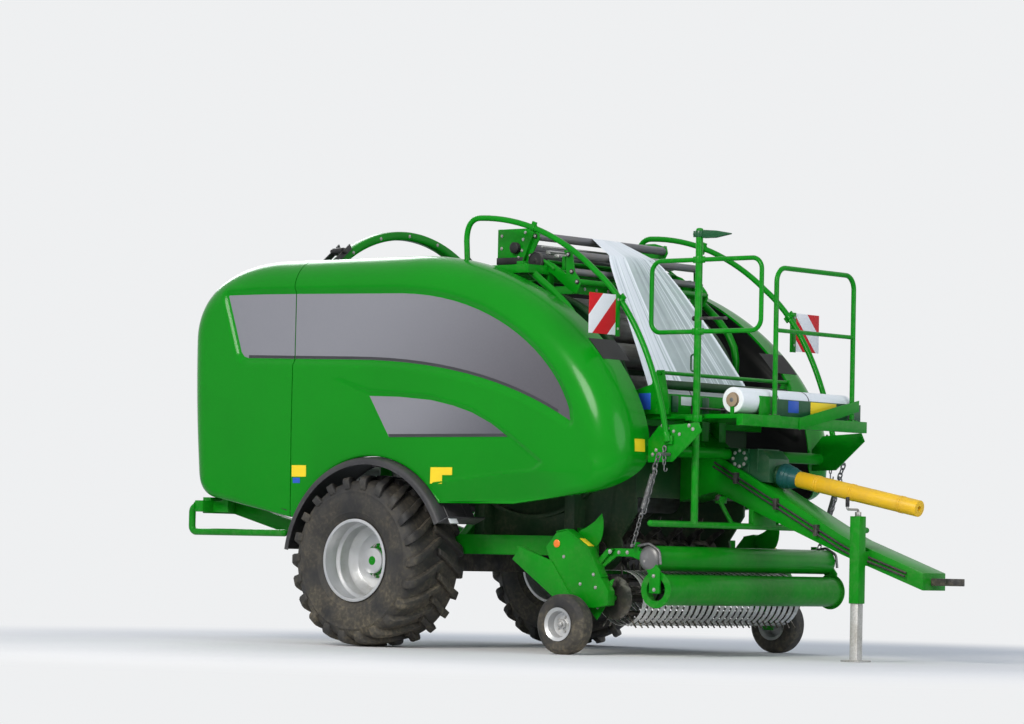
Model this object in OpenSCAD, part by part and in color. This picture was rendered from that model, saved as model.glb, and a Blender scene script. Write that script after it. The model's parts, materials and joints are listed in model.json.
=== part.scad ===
// Baler-wrapper combination, towed: a fixed-chamber round baler with a vertical wrapping ring behind it.
// Millimetres. +X is the direction of travel, +Y the left side, +Z up. The ground is z = 0.
// Inside the modules x is measured from the wheel axle; placed() moves the machine over the middle of its box.

/* [Running gear] */
// Outer diameter of the flotation tyres
tyre_d = 1243; // [1150:1:1300]
// Width of the flotation tyres
tyre_w = 560; // [480:1:580]
// Distance between the tyres' middle planes
track_w = 2280; // [2260:1:2340]
// Diameter over the rim flanges
rim_d = 600; // [560:1:640]
// Side of the square axle
axle_side = 130; // [100:1:150]
// Lugs on each half of a tyre
lug_count = 22; // [16:1:24]
// Height of a tyre lug
lug_h = 36; // [20:1:42]

/* [Chassis] */
// Height of the main rails
rail_h = 140; // [110:1:150]
// Width of the main rails
rail_w = 80; // [60:1:85]
// Clear distance between the main rails
rail_gap = 1540; // [1500:1:1550]
// Radius of the guard tubes beside the rear arms
guard_r = 26; // [18:1:32]
// Height of the guard tubes' lower run
guard_z = 810; // [780:1:850]

/* [Shells] */
// Distance between the outer faces of the side shells
shell_w = 2720; // [2700:1:2740]
// Thickness of the shells
shell_t = 25; // [18:1:30]
// Highest line of the shells
shell_top = 2835; // [2800:1:2850]
// Rearmost plane of the shells
shell_rear = -1750; // [-1800:1:-1720]
// Foremost line of the shells
shell_nose = 2335; // [2300:1:2345]
// Seam between rear shell and side door
seam_x = -684; // [-690:1:-670]
// Gap at the seam
seam_gap = 8; // [6:1:12]

/* [Wrapping ring] */
// Plane of the wrapping ring behind the axle
ring_x = -800; // [-810:1:-795]
// Highest point of the ring
ring_top = 3135; // [3125:1:3145]
// Outer radius of the ring
ring_r = 1305; // [1295:1:1310]
// Depth of the ring's section
ring_depth = 66; // [50:1:70]
// Width of the ring's section
ring_w = 80; // [60:1:84]
// Length of a film roll
film_len = 750; // [730:1:760]
// Radius of the film rolls on the ring
film_r = 95; // [70:1:100]

/* [Bale chamber] */
// Middle of the bale chamber in front of the axle
chamber_x = 1075; // [1060:1:1085]
// Height of the chamber's middle
chamber_z = 1770; // [1765:1:1790]
// Radius of the circle that the chamber rollers stand on
chamber_r = 705; // [690:1:715]
// Radius of a chamber roller
roller_r = 92; // [80:1:98]
// Distance between the chamber's side plates
chamber_w = 1260; // [1240:1:1300]

/* [Wrapping table] */
// Distance between the two table rollers
table_span = 1000; // [990:1:1040]
// Height of the table rollers
table_z = 1300; // [1260:1:1330]
// Radius of a table roller
table_r = 90; // [80:1:94]

/* [Pick-up] */
// Middle of the tine reel in front of the axle
reel_x = 2100; // [2095:1:2105]
// Height of the tine reel's middle
reel_z = 400; // [395:1:420]
// Radius at the tine tips
tine_r = 250; // [240:1:254]
// Radius of the stripper bands
band_r = 190; // [180:1:195]
// Tines on each bar
tine_count = 28; // [20:1:28]
// Tine bars on the reel
bar_count = 5; // [4:1:6]
// Spacing of the tines
tine_pitch = 70; // [64:1:72]
// Diameter of the gauge wheels
gauge_d = 420; // [400:1:426]
// Width of the gauge wheels
gauge_w = 160; // [140:1:170]
// Radius of the crop roller
crop_r = 108; // [90:1:112]

/* [Drawbar] */
// Middle of the drawbar eye in front of the axle
eye_x = 4250; // [4230:1:4400]
// Height of the drawbar eye
eye_z = 560; // [545:1:575]
// Bore of the drawbar eye
eye_bore = 50; // [40:1:52]
// Outer diameter of the drawbar eye
eye_d = 130; // [120:1:140]
// Width of the drawbar
drawbar_w = 280; // [240:1:300]
// Radius of the drive shaft's guard
pto_r = 58; // [50:1:62]
// Bore of the drive shaft's yoke
pto_bore = 35; // [30:1:40]
// Side of the parking jack's sleeve
jack_side = 80; // [70:1:90]

/* [Guards and rails] */
// Distance between the two guard hoops
hoop_gap = 2016; // [2010:1:2020]
// Radius of the hoops' tube
hoop_r = 21; // [16:1:22]
// Radius of the railings' tube
rail_r = 18; // [14:1:20]
// Top of the loop rail's post
post_top = 2975; // [2900:1:3000]

/* [Hidden] */
$fn = 48;
fit = 0.3;            // running clearance at seats
wheel_z = tyre_d / 2;
rim_r = rim_d / 2;
track = track_w / 2;
tail_x = -1740 - guard_r;
frame_x = -(eye_x + eye_d / 2 + tail_x) / 2;
side_y = shell_w / 2;
rail_y = rail_gap / 2;
rail_z0 = wheel_z + axle_side / 2;
rail_z1 = rail_z0 + rail_h;
rail_front = 1760;
arm_y = 890;          // inner face of the rear arms
arm_w = 70;
arm_h = 110;
guard_y = 1290;
ring_z = ring_top - ring_r;
ring_in = ring_r - ring_depth;
orbit_r = ring_in - 45;
chamber_y = chamber_w / 2;
plate_t = 20;
hinge_y = 1070;       // axis of the side doors
hinge_z = shell_top - 50;
hoop_y = hoop_gap / 2;
top_rail_w = 60;
top_rail_y = hoop_y - hoop_r - fit - top_rail_w;     // inner face of the upper rails
top_rail_z = 2700;
rotor_x = 1690;
rotor_z = 750;
rotor_r = 235;
pivot_x = 1620;       // axis of the pick-up
pivot_z = 820;
gauge_x = 1860;
gauge_y = 1260;
crop_x = 2485;
crop_z = 465;
jack_x = 3600;
jack_y = -230;
table_front = ring_x + table_span / 2;
table_rear = ring_x - table_span / 2;
table_y = 705;        // half length of the table rollers

// Placing helpers
module placed() translate([frame_x, 0, 0]) children();
module both_sides() { children(); mirror([0, 1, 0]) children(); }
module right_side() mirror([0, 1, 0]) children();

// A plate whose outline is given in x and z, from y0 to y1
module plate_xz(points, y0, y1)
    translate([0, y1, 0]) rotate([90, 0, 0]) linear_extrude(y1 - y0) polygon(points);

// A plate whose outline is given in y and z, from x0 to x1
module plate_yz(points, x0, x1)
    translate([x0, 0, 0]) rotate([90, 0, 90]) linear_extrude(x1 - x0) polygon(points);

// A box between two corners
module block(low, high) translate(low) cube(high - low);

// A cylinder along Y from y0 to y1
module bar_y(x, z, r, y0, y1) translate([x, y1, z]) rotate([90, 0, 0]) cylinder(h = y1 - y0, r = r);

// A cylinder along X from x0 to x1
module bar_x(y, z, r, x0, x1) translate([x0, y, z]) rotate([0, 90, 0]) cylinder(h = x1 - x0, r = r);

// A round bar between two points
module strut(p, q, r) {
    d = q - p;
    length = norm(d);
    translate(p) rotate([0, acos(d.z / length), atan2(d.y, d.x)]) cylinder(h = length, r = r);
}

// A path through corners with each bend rounded to one radius
function unit(v) = v / norm(v);
function bend_points(p, q, r, bend, steps) = let (
    u = unit(q - p), v = unit(r - q), turn = acos(u * v),
    w = unit(v - u * (u * v)), start = q - u * bend * tan(turn / 2), centre = start + w * bend)
    [for (k = [0:steps]) let (a = turn * k / steps) centre - w * bend * cos(a) + u * bend * sin(a)];
function rounded(path, bend, steps) = concat([path[0]],
    [for (i = [1:len(path) - 2]) each bend_points(path[i - 1], path[i], path[i + 1], bend, steps)],
    [path[len(path) - 1]]);

// A round tube swept along a path; the section keeps its twist from ring to ring
tube_sides = 12;
function tangent(path, i) = let (n = len(path)) unit(path[min(i + 1, n - 1)] - path[max(i - 1, 0)]);
function across(t) = unit(cross(t, abs(t.z) < 0.9 ? [0, 0, 1] : [0, 1, 0]));
function carried(path, i, last) = i >= len(path) ? [] : let (
    t = tangent(path, i), m = unit(last - t * (last * t))) concat([m], carried(path, i + 1, m));
module tube(path, r) {
    n = len(path);
    normals = carried(path, 0, across(tangent(path, 0)));
    points = [for (i = [0:n - 1]) let (t = tangent(path, i), m = normals[i], b = cross(t, m))
        each [for (k = [0:tube_sides - 1]) let (a = 360 * k / tube_sides) path[i] + r * (m * cos(a) + b * sin(a))]];
    faces = concat(
        [[for (k = [0:tube_sides - 1]) tube_sides - 1 - k]],
        [[for (k = [0:tube_sides - 1]) (n - 1) * tube_sides + k]],
        [for (i = [0:n - 2]) for (k = [0:tube_sides - 1]) let (k1 = (k + 1) % tube_sides)
            [i * tube_sides + k, i * tube_sides + k1, (i + 1) * tube_sides + k1, (i + 1) * tube_sides + k]]);
    polyhedron(points, [for (f = faces) [for (k = [0:len(f) - 1]) f[len(f) - 1 - k]]], convexity = 8);
}
module pipe_xz(corners, r, bend, y) tube(rounded([for (c = corners) [c[0], y, c[1]]], bend, 5), r);
module pipe_yz(corners, r, bend, x) tube(rounded([for (c = corners) [x, c[0], c[1]]], bend, 5), r);

// Points along a cubic curve between rows of any length, without the last one
function curve(p, n) = [for (i = [0:n - 1]) let (t = i / n, s = 1 - t)
    s * s * s * p[0] + 3 * s * s * t * p[1] + 3 * s * t * t * p[2] + t * t * t * p[3]];

// Shell outlines: rows of x, z, corner radius and the y where the wrapped edge ends
corner_big = 250;
corner_rear = 150;
corner_low = 60;
corner_arch = 22;
wrap_roof = 1055;
wrap_nose = 950;
wrap_rear = 930;
wrap_low = side_y - 110;
arch_x = 90;
arch_z = 570;
arch_r = 806;
arch_low_rear = 930;
arch_low_front = 1043;
function arch_point(z, s) = arch_x + s * sqrt(arch_r * arch_r - (z - arch_z) * (z - arch_z));
door_rear_x = seam_x + seam_gap / 2;
arch_from = 180 - asin((arch_low_rear - arch_z) / arch_r);
arch_to = asin((arch_low_front - arch_z) / arch_r);
arch_steps = 12;
door_outline = concat(
    [[door_rear_x, shell_top, corner_big, wrap_roof]],
    curve([[340, shell_top, corner_big, wrap_roof], [1450, shell_top - 5, corner_big, wrap_roof],
           [shell_nose, 2050, corner_big, wrap_nose], [shell_nose, 1430, corner_big, wrap_nose]], 12),
    curve([[shell_nose, 1430, corner_big, wrap_nose], [shell_nose, 1260, corner_big, wrap_nose],
           [2250, 1160, corner_low * 2, wrap_low], [2080, 1130, corner_low, wrap_low]], 6),
    [[2080, 1130, corner_low, wrap_low], [1400, 1043, corner_low, wrap_low],
     [arch_point(arch_low_front, 1), arch_low_front, corner_arch, side_y - 60]],
    [for (i = [1:arch_steps - 1]) let (a = arch_to + (arch_from - arch_to) * i / arch_steps)
        [arch_x + arch_r * cos(a), arch_z + arch_r * sin(a), corner_arch, side_y - 60]],
    [[arch_point(arch_low_rear, -1), arch_low_rear, corner_arch, side_y - 60],
     [door_rear_x, arch_low_rear - 2, corner_arch, side_y - 60]]
);
rear_front_x = seam_x - seam_gap / 2;
rear_outline = concat(
    [[rear_front_x, arch_low_rear - 2, corner_arch, side_y - 60]],
    curve([[-1440, 1060, corner_low, wrap_low], [-1580, 1075, corner_low, wrap_low],
           [shell_rear + 55, 1120, corner_rear, wrap_rear], [shell_rear + 45, 1290, corner_rear, wrap_rear]], 6),
    curve([[shell_rear + 45, 1290, corner_rear, wrap_rear], [shell_rear + 20, 1600, corner_rear, wrap_rear],
           [shell_rear, 1900, corner_rear, wrap_rear], [shell_rear, 2250, corner_rear, wrap_rear]], 3),
    curve([[shell_rear, 2250, corner_rear, wrap_rear], [shell_rear, 2620, corner_rear, wrap_rear],
           [-1450, shell_top, corner_big, wrap_rear], [-950, shell_top, corner_big, wrap_rear]], 8),
    [[-950, shell_top, corner_big, wrap_rear], [rear_front_x, shell_top, corner_big, wrap_rear]]
);

// Outward direction of an outline at each of its points; the two ends face straight up or down
function outline_normals(o) = let (n = len(o)) [for (i = [0:n - 1])
    i == 0 || i == n - 1 ? [0, o[i][1] > 1500 ? 1 : -1] :
    let (d = [o[i + 1][0] - o[i - 1][0], o[i + 1][1] - o[i - 1][1]]) [-d[1], d[0]] / norm(d)];

// One curved shell with a wall: side face, rounded edge and the part that wraps inwards.
// The outline runs clockwise as seen from -Y, from seam to seam.
round_steps = 4;
module shell(outline) {
    normals = outline_normals(outline);
    n = len(outline);
    rows = round_steps + 2;
    function section(i, inset) = let (
        o = outline[i], m = normals[i], r = max(o[2] - inset, 4),
        base = [o[0], o[1]] - m * inset)
        concat([for (j = [0:round_steps]) let (a = 90 * j / round_steps, q = base - m * r * (1 - sin(a)))
            [q[0], side_y - inset - r * (1 - cos(a)), q[1]]],
            [[base[0], o[3], base[1]]]);
    points = concat([for (i = [0:n - 1]) each section(i, 0)], [for (i = [0:n - 1]) each section(i, shell_t)]);
    function at(i, j, layer) = layer * n * rows + i * rows + j;
    function halves(a, b, c, d) = [[a, b, c], [a, c, d]];
    // the flat side between two chains of points, which both start at the seam and meet at the far end
    reach = [for (i = [0:n - 1]) abs(points[i * rows][0] - seam_x)];
    far = [for (i = [0:n - 1]) if (reach[i] == max(reach)) i][0];
    function ladder(i, k) = i == far && k == far + 1 ? [] :
        k == far + 1 || (i < far && reach[i + 1] < reach[k - 1]) ? concat([[i, i + 1, k]], ladder(i + 1, k)) :
        concat([[i, k - 1, k]], ladder(i, k - 1));
    flat = ladder(0, n - 1);
    faces = concat(
        [for (t = flat) [at(t[0], 0, 0), at(t[1], 0, 0), at(t[2], 0, 0)]],
        [for (t = flat) [at(t[2], 0, 1), at(t[1], 0, 1), at(t[0], 0, 1)]],
        [for (i = [0:n - 2]) for (j = [0:rows - 2])
            each halves(at(i, j, 0), at(i, j + 1, 0), at(i + 1, j + 1, 0), at(i + 1, j, 0))],
        [for (i = [0:n - 2]) each halves(at(i, rows - 1, 0), at(i, rows - 1, 1), at(i + 1, rows - 1, 1), at(i + 1, rows - 1, 0))],
        [for (i = [0:n - 2]) for (j = [0:rows - 2])
            each halves(at(i, j, 1), at(i + 1, j, 1), at(i + 1, j + 1, 1), at(i, j + 1, 1))],
        // the two ends at the seam and the edge between them
        [for (j = [0:rows - 2]) each halves(at(0, j, 1), at(0, j + 1, 1), at(0, j + 1, 0), at(0, j, 0))],
        [for (j = [0:rows - 2]) each halves(at(n - 1, j, 0), at(n - 1, j + 1, 0), at(n - 1, j + 1, 1), at(n - 1, j, 1))],
        halves(at(0, 0, 0), at(n - 1, 0, 0), at(n - 1, 0, 1), at(0, 0, 1)));
    polyhedron(points, faces, convexity = 10);
}

module rear_shell() shell(rear_outline);
module side_door() {
    shell(door_outline);
    for (x = door_hinges) difference() {
        union() {
            bar_x(hinge_y, hinge_z, 16, x - 40, x + 40);
            block([x - 40, hinge_y - 12, hinge_z], [x + 40, hinge_y + 40, shell_top - shell_t + 6]);
        }
        bar_x(hinge_y, hinge_z, 8 + fit, x - 41, x + 41);
    }
}
door_hinges = [-450, 100];

// Rails, axle seats, rear arms with posts for the shells, cross-members and guard tubes
module chassis() color("green") {
    both_sides() {
        block([-700, rail_y, rail_z0], [rail_front, rail_y + rail_w, rail_z1]);
        block([-700, rail_y + rail_w, rail_z0], [-640, arm_y + arm_w, rail_z1]);
        plate_xz([[-640, 700], [-640, 700 + arm_h], [-1640, 955 + arm_h], [-1640, 955]], arm_y, arm_y + arm_w);
        // post behind the seam, on an outrigger clear of the fender
        plate_yz([[arm_y + arm_w, 740], [1285, 970], [1330, 1000], [1330, 1060], [1280, 1040], [arm_y + arm_w, 800]], -740, -700);
        block([-740, 1290, 1000], [-700, side_y - shell_t - fit, 2560]);
        // rear corner post inside the shell's lip, with two brackets to the flat side
        block([-1520, 1140, 960], [-1460, 1200, 2350]);
        block([-1690, 1140, 960], [-1460, 1200, 1045]);
        for (z = [1400, 2200]) block([-1520, 1195, z], [-1480, side_y - shell_t - fit, z + 60]);
        block([-1690, 1225, 960], [-1610, guard_y + guard_r, 1045]);
        // lugs that the pick-up hangs in
        block([pivot_x - 60, 741, rail_z0], [pivot_x + 60, rail_y, rail_z1 + 60]);
        bar_y(pivot_x, pivot_z, 25, 700, 741);
    }
    block([-1690, -1230, 950], [-1610, 1230, 1070]);
    block([-380, -rail_y, rail_z0], [-300, rail_y, rail_z0 + 100]);
    // supports of the table rollers
    both_sides() {
        plate_xz([[table_front - 90, rail_z0 + 100], [table_front + 80, rail_z0 + 100],
                  [table_front + 40, table_z + 40], [table_front - 40, table_z + 40]], table_y + 10, table_y + 35);
        plate_xz([[-1690, 1000], [-1690, 1110], [table_rear - 40, table_z + 40], [table_rear + 40, table_z + 40],
                  [table_rear + 40, table_z - 55], [table_rear - 20, table_z - 55], [-1610, 1000]], table_y + 10, table_y + 35);
    }
}

// Guard tubes below the rear shells
module guard_tubes() color("green") both_sides() {
    pipe_xz([[-1690 - fit, 1002], [-1740, 1002], [-1740, guard_z], [-790, guard_z]], guard_r, 45, guard_y);
    strut([-900, arm_y + arm_w + fit, 800], [-900, guard_y - guard_r / 2, guard_z], 14);
}

module axle_beam() color("dimgray") {
    block([-axle_side / 2, -830, wheel_z - axle_side / 2], [axle_side / 2, 830, wheel_z + axle_side / 2 - fit]);
    both_sides() {
        bar_y(0, wheel_z, 62, 829, 900);
        bar_y(0, wheel_z, 45, 899, track + 40);
    }
}

rim_w = 45;           // rim of the chamber's side plates
leg_y = chamber_y + plate_t + rim_w + fit;
// Upper rails between the chamber and the ring, with the doors' hinge pins and the hoops' feet
module upper_frame() color("green") {
    both_sides() {
        block([-690, top_rail_y, top_rail_z], [1240, top_rail_y + top_rail_w, top_rail_z + 60]);
        for (x = door_hinges) {
            for (s = [-1, 1]) plate_yz([[top_rail_y + top_rail_w, top_rail_z], [top_rail_y + top_rail_w, top_rail_z + 55],
                [hinge_y - 14, hinge_z - 15], [hinge_y - 10, hinge_z + 12], [hinge_y + 8, hinge_z + 12],
                [hinge_y + 14, hinge_z], [hinge_y, hinge_z - 16], [top_rail_y + top_rail_w + 12, top_rail_z]],
                x + s * 48 - 6, x + s * 48 + 6);
            bar_x(hinge_y, hinge_z, 8, x - 48, x + 48);
        }
        // legs down to the rims of the chamber's side plates
        for (x = [720, 1180]) {
            block([x, chamber_y, top_rail_z], [x + 60, top_rail_y, top_rail_z + 60]);
            block([x, leg_y, 2440], [x + 60, leg_y + 60, top_rail_z + 10]);
        }
    }
    for (x = [720, 1180]) block([x, -chamber_y - 1, top_rail_z], [x + 60, chamber_y + 1, top_rail_z + 60]);
}

module fender() {
    translate([arch_x, 985, arch_z]) rotate([90, 0, 0]) mirror([0, 0, 1]) rotate([0, 0, 25])
        rotate_extrude(angle = 146) polygon([[790, 0], [800, 0], [800, 425], [772, 425], [772, 415], [790, 415]]);
    // flat foot at the front end
    translate([arch_x, 985, arch_z]) rotate([90, 0, 0]) mirror([0, 0, 1]) rotate([0, 0, 25])
        translate([790, -6, 0]) cube([100, 12, 425]);
}
// Arms that reach over the tyre and carry the fender
module fender_arm() {
    block([arch_x - 30, rail_y, rail_z1], [arch_x + 30, rail_y + 60, 1345]);
    block([arch_x - 30, rail_y, 1300], [arch_x + 30, 1300, arch_z + 790 - 1.5]);
}
module fender_left() color("dimgray") { fender(); fender_arm(); }
module fender_right() color("dimgray") right_side() { fender(); fender_arm(); }

module rear_shell_right() color("green") right_side() rear_shell();
module rear_shell_left() color("green") rear_shell();
module door_right() color("green") right_side() side_door();
module door_left() color("green") side_door();

// Side plates of the bale chamber with their stiffeners and the front box that the drawbar bolts to
chamber_front = 1990;
module chamber() color("green") {
    both_sides() {
        difference() {
            union() {
                bar_y(chamber_x, chamber_z, 820, chamber_y, chamber_y + plate_t);
                plate_xz([[chamber_x - 500, rail_z0], [rail_front, rail_z0], [chamber_front, 1000], [chamber_front, 1800],
                          [chamber_x + 700, 2200], [chamber_x - 700, 2200]], chamber_y, chamber_y + plate_t);
                bar_y(rotor_x, rotor_z, 180, chamber_y, chamber_y + plate_t);
            }
            bar_y(rotor_x, rotor_z, 40 + fit, chamber_y - 1, chamber_y + plate_t + 1);
        }
        // stiffeners between plate and rail
        for (x = [chamber_x - 470, 1440]) block([x, chamber_y + plate_t, rail_z0 + 105], [x + 90, rail_y - fit, 1900]);
        // rim of the side plate
        translate([chamber_x, chamber_y + plate_t, chamber_z]) rotate([90, 0, 0]) mirror([0, 0, 1])
            rotate_extrude(angle = 360) translate([790, 0]) square([30, rim_w]);
    }
    block([chamber_front - 90, -chamber_y, 1110], [chamber_front, chamber_y, 1690]);
    block([chamber_x - 40, -chamber_y, rail_z0], [chamber_x + 40, chamber_y, rail_z0 + 90]);
}

// Rollers round the chamber, all but those at the intake, and the two rollers of the wrapping table
roller_count = 18;
intake_rollers = [16, 17];
module bale_rollers() color("silver") {
    for (i = [0:roller_count - 1]) if (len([for (k = intake_rollers) if (k == i) k]) == 0) {
        a = 360 * i / roller_count - 10;
        bar_y(chamber_x + chamber_r * cos(a), chamber_z + chamber_r * sin(a), roller_r, fit - chamber_y, chamber_y - fit);
    }
    for (x = [table_front, table_rear]) {
        bar_y(x, table_z, table_r, -table_y, table_y);
        bar_y(x, table_z, 20, fit - table_y - 10, table_y + 10 - fit);
    }
}

module wrap_ring() color("green")
    translate([ring_x, 0, ring_z]) rotate([0, 90, 0]) rotate_extrude($fn = 96)
        translate([ring_in, -ring_w / 2]) square([ring_depth, ring_w]);

// Two film dispensers opposite each other inside the ring, set back so that they pass behind the tyres
orbit_in = orbit_r - 235;
dispenser_back = 110;
core_r = 38;          // cardboard core of every film roll
module each_dispenser() for (side = [0, 180]) translate([ring_x, 0, ring_z]) rotate([side, 0, 0]) children();
module dispensers() color("green") each_dispenser() {
    half = film_len / 2;
    translate([-dispenser_back, 0, 0]) {
        for (s = [-1, 1]) plate_yz([[orbit_in, -190], [orbit_r - 10, -190], [orbit_r + 8, 0], [orbit_r - 10, 190], [orbit_in, 190]],
            s * (half + 10) - 6, s * (half + 10) + 6);
        block([-half - 16, orbit_in, 130], [half + 16, orbit_in + 60, 190]);
        block([-half - 16, orbit_r - 60, -190], [half + 16, orbit_r - 10, -150]);
        block([-half - 16, orbit_in, -190], [half + 16, orbit_in + 40, -150]);
        bar_x(orbit_r - 50, 150, 32, -half - 5, half + 5);
        for (s = [-1, 1]) bar_x(orbit_r - 125, 0, core_r - fit, s * (half + 5) - 40, s * (half + 5) + 5);
    }
    // bridges from the dispenser to the ring
    for (z = [-180, 120]) plate_yz([[orbit_r - 60, z], [ring_face(z), z], [ring_face(z + 30), z + 30], [orbit_r - 60, z + 30]], -38, 38);
}
function ring_face(z) = sqrt((ring_in - fit) * (ring_in - fit) - z * z);
module dispenser_film() color("white") each_dispenser() translate([-dispenser_back, 0, 0]) difference() {
    bar_x(orbit_r - 125, 0, film_r, -film_len / 2, film_len / 2);
    bar_x(orbit_r - 125, 0, core_r, -film_len / 2 - 1, film_len / 2 + 1);
}

// Guide rollers that the ring runs in, outside its rim. Columns: angle of the station from the top, half angle
// of its plates, and the points of the plates' foot in y and z
guide_stations = [
    [38, 7, [[top_rail_y, top_rail_z], [top_rail_y + top_rail_w, top_rail_z], [top_rail_y + top_rail_w, top_rail_z + 60]]],
    [146.5, 6, [[arm_y - fit, 812], [arm_y - fit, 760]]]
];
guide_roller_r = 30;
function ring_spot(a, r) = [r * sin(a), ring_z + r * cos(a)];
module ring_guides() color("dimgray") both_sides() for (g = guide_stations) {
    roller_at = ring_r + guide_roller_r + fit;
    near = g[0] + (g[0] < 90 ? g[1] : -g[1]);
    far = g[0] - (g[0] < 90 ? g[1] : -g[1]);
    for (s = [-1, 1]) {
        x = ring_x + s * (ring_w / 2 + 14);
        plate_yz(concat(g[2], [ring_spot(near, roller_at + 20), ring_spot(far, roller_at + 20),
                               ring_spot(far, roller_at - 24), ring_spot(near, roller_at - 24)]), x - 5, x + 5);
    }
    for (d = [-3.5, 3.5]) {
        p = ring_spot(g[0] + d, roller_at);
        bar_x(p[0], p[1], guide_roller_r, ring_x - ring_w / 2 - 9, ring_x + ring_w / 2 + 9);
    }
}

// Guard hoops over the front of the machine
hoop_path = concat([[690, 2700], [674, 2940]],
    curve([[674, 2940], [672, 3060], [720, 3105], [800, 3103]], 5),
    curve([[800, 3103], [1180, 3095], [1560, 2950], [1870, 2690]], 6),
    curve([[1870, 2690], [2200, 2450], [2430, 2020], [2530, 1496]], 8), [[2530, 1496]]);
module guard_hoops() color("green") both_sides()
    tube([for (i = [0:len(hoop_path) - 1]) if (i != 2) [hoop_path[i][0], hoop_y, hoop_path[i][1]]], hoop_r);

// Warning boards beside the hoops; the stripes are painted
board_x = 2105;
module warning_boards() color("white") both_sides() {
    block([board_x, hoop_y + hoop_r + 10, 2230], [board_x + 5, hoop_y + hoop_r + 345, 2512]);
    block([board_x - 12, hoop_y + hoop_r + fit, 2460], [board_x, hoop_y + hoop_r + 220, 2496]);
}

// Film and net applicator on top of the chamber
applicator_y = 750;
module applicator() color("green") {
    both_sides() {
        plate_xz([[760, top_rail_z + 60], [1245, top_rail_z + 60], [1245, 2660], [1440, 2520], [1500, 2460], [1560, 2470],
                  [1570, 2540], [1340, 2790], [1160, 2960], [1140, 3010], [1030, 3040], [760, 3040]],
            applicator_y, applicator_y + 12);
    }
    block([770, -applicator_y, top_rail_z + 60], [800, applicator_y, 2960]);
}
// Roller rows: x, z, radius
applicator_rows = [[1115, 2980, 30], [1075, 2840, 34], [940, 2900, 42], [1300, 2716, 34], [1400, 2620, 32], [1500, 2530, 28]];
module applicator_rollers() color("silver")
    for (r = applicator_rows) bar_y(r[0], r[1], r[2], -applicator_y + fit, applicator_y - fit);

// Film rolls on the platform: x, z, radius, half length
roll_rows = [[2140, 1810, 95, 620], [2830, 1790, 90, 660]];
// Film that runs from the active roll up to the applicator's top roller, gathered at the top.
// Rows of x, z and half width
film_t = 5;
web_rows = [[applicator_rows[0][0] + applicator_rows[0][2] + fit, applicator_rows[0][1], 130],
            [1600, 2480, 330],
            [roll_rows[0][0] - (roll_rows[0][2] + fit) * cos(40) - film_t, roll_rows[0][1] + (roll_rows[0][2] + fit) * sin(40), 600]];
module film_web() color("white") for (i = [0:len(web_rows) - 2]) hull() for (r = [web_rows[i], web_rows[i + 1]])
    block([r[0], -r[2], r[1]], [r[0] + film_t, r[2], r[1] + film_t]);

module film_rolls() color("white") for (r = roll_rows) difference() {
    bar_y(r[0], r[1], r[2], -r[3], r[3]);
    bar_y(r[0], r[1], core_r, -r[3] - 1, r[3] + 1);
}

platform_z = 1660;
module platform() color("green") {
    block([2000, -720, platform_z], [2960, 720, platform_z + 30]);
    block([2930, -750, platform_z - 50], [2985, 750, platform_z + 30]);
    block([chamber_front + fit, -750, platform_z - 40], [2050, 750, platform_z + 60]);
    for (r = roll_rows) both_sides() {
        block([r[0] - 14, r[3] + fit, platform_z + 29], [r[0] + 14, r[3] + 12, r[1]]);
        bar_y(r[0], r[1], core_r - 4, r[3] + fit, r[3] + 12);
        bar_y(r[0], r[1], core_r - fit, r[3] - 30, r[3] + 12);
    }
    // legs on the drawbar's shoulders
    both_sides() plate_xz([[2100, shoulder_top(2100)], [2180, shoulder_top(2180)], [2180, platform_z + 1], [2100, platform_z + 1]],
        60, drawbar_w / 2);
}

guard_bar_z = 920;
// Railing at the platform's front, and the post with its loop rail at the right
module railings() color("green") {
    pipe_yz([[-340, platform_z + 30 + fit], [-340, 2730], [600, 2730], [600, platform_z + 30 + fit]], rail_r, 80, 2955);
    bar_y(2955, 2290, rail_r - 3, -340, 600);
    y = -800;
    translate([2620, y, guard_bar_z]) cylinder(h = post_top - guard_bar_z, r = hoop_r);
    for (x = [2210, 3160]) pipe_xz([[2620, 2760], [x, 2760], [x, 2260], [2620, 2260]], rail_r, 60, y);
    block([2600, y - 14, post_top - 40], [2790, y + 14, post_top - 15]);
    block([2540, y - 20, platform_z - 20], [2600, -720, platform_z + 10]);
    // bar in front of the pick-up
    bar_y(2620, guard_bar_z, 22, -1300, 1300);
    plate_xz([[2600, guard_bar_z], [2640, guard_bar_z], [2640, drawbar_bottom(2640)], [2600, drawbar_bottom(2600)]],
        -drawbar_w / 2, drawbar_w / 2);
}

// Plates that the hoops stand on, on a cross shaft in front of the doors
arm_plate_y = hoop_y - hoop_r - fit - 12;
module arm_plates() color("green") both_sides() {
    plate_xz([[2345, 1345], [2560, 1350], [2810, 1560], [2780, 1620], [2440, 1600], [2345, 1500]], arm_plate_y, arm_plate_y + 12);
    bar_y(2410, 1430, 40, drawbar_w / 2, arm_plate_y + 6);
}

// Springs and chains that carry part of the pick-up's weight
module lift_chains() color("silver") both_sides() {
    strut([2540, 1110, 1400], [2322, 1110, 745], 20);
    bar_y(2540, 1400, 12, arm_plate_y + 12 + fit, 1112);
}

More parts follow.
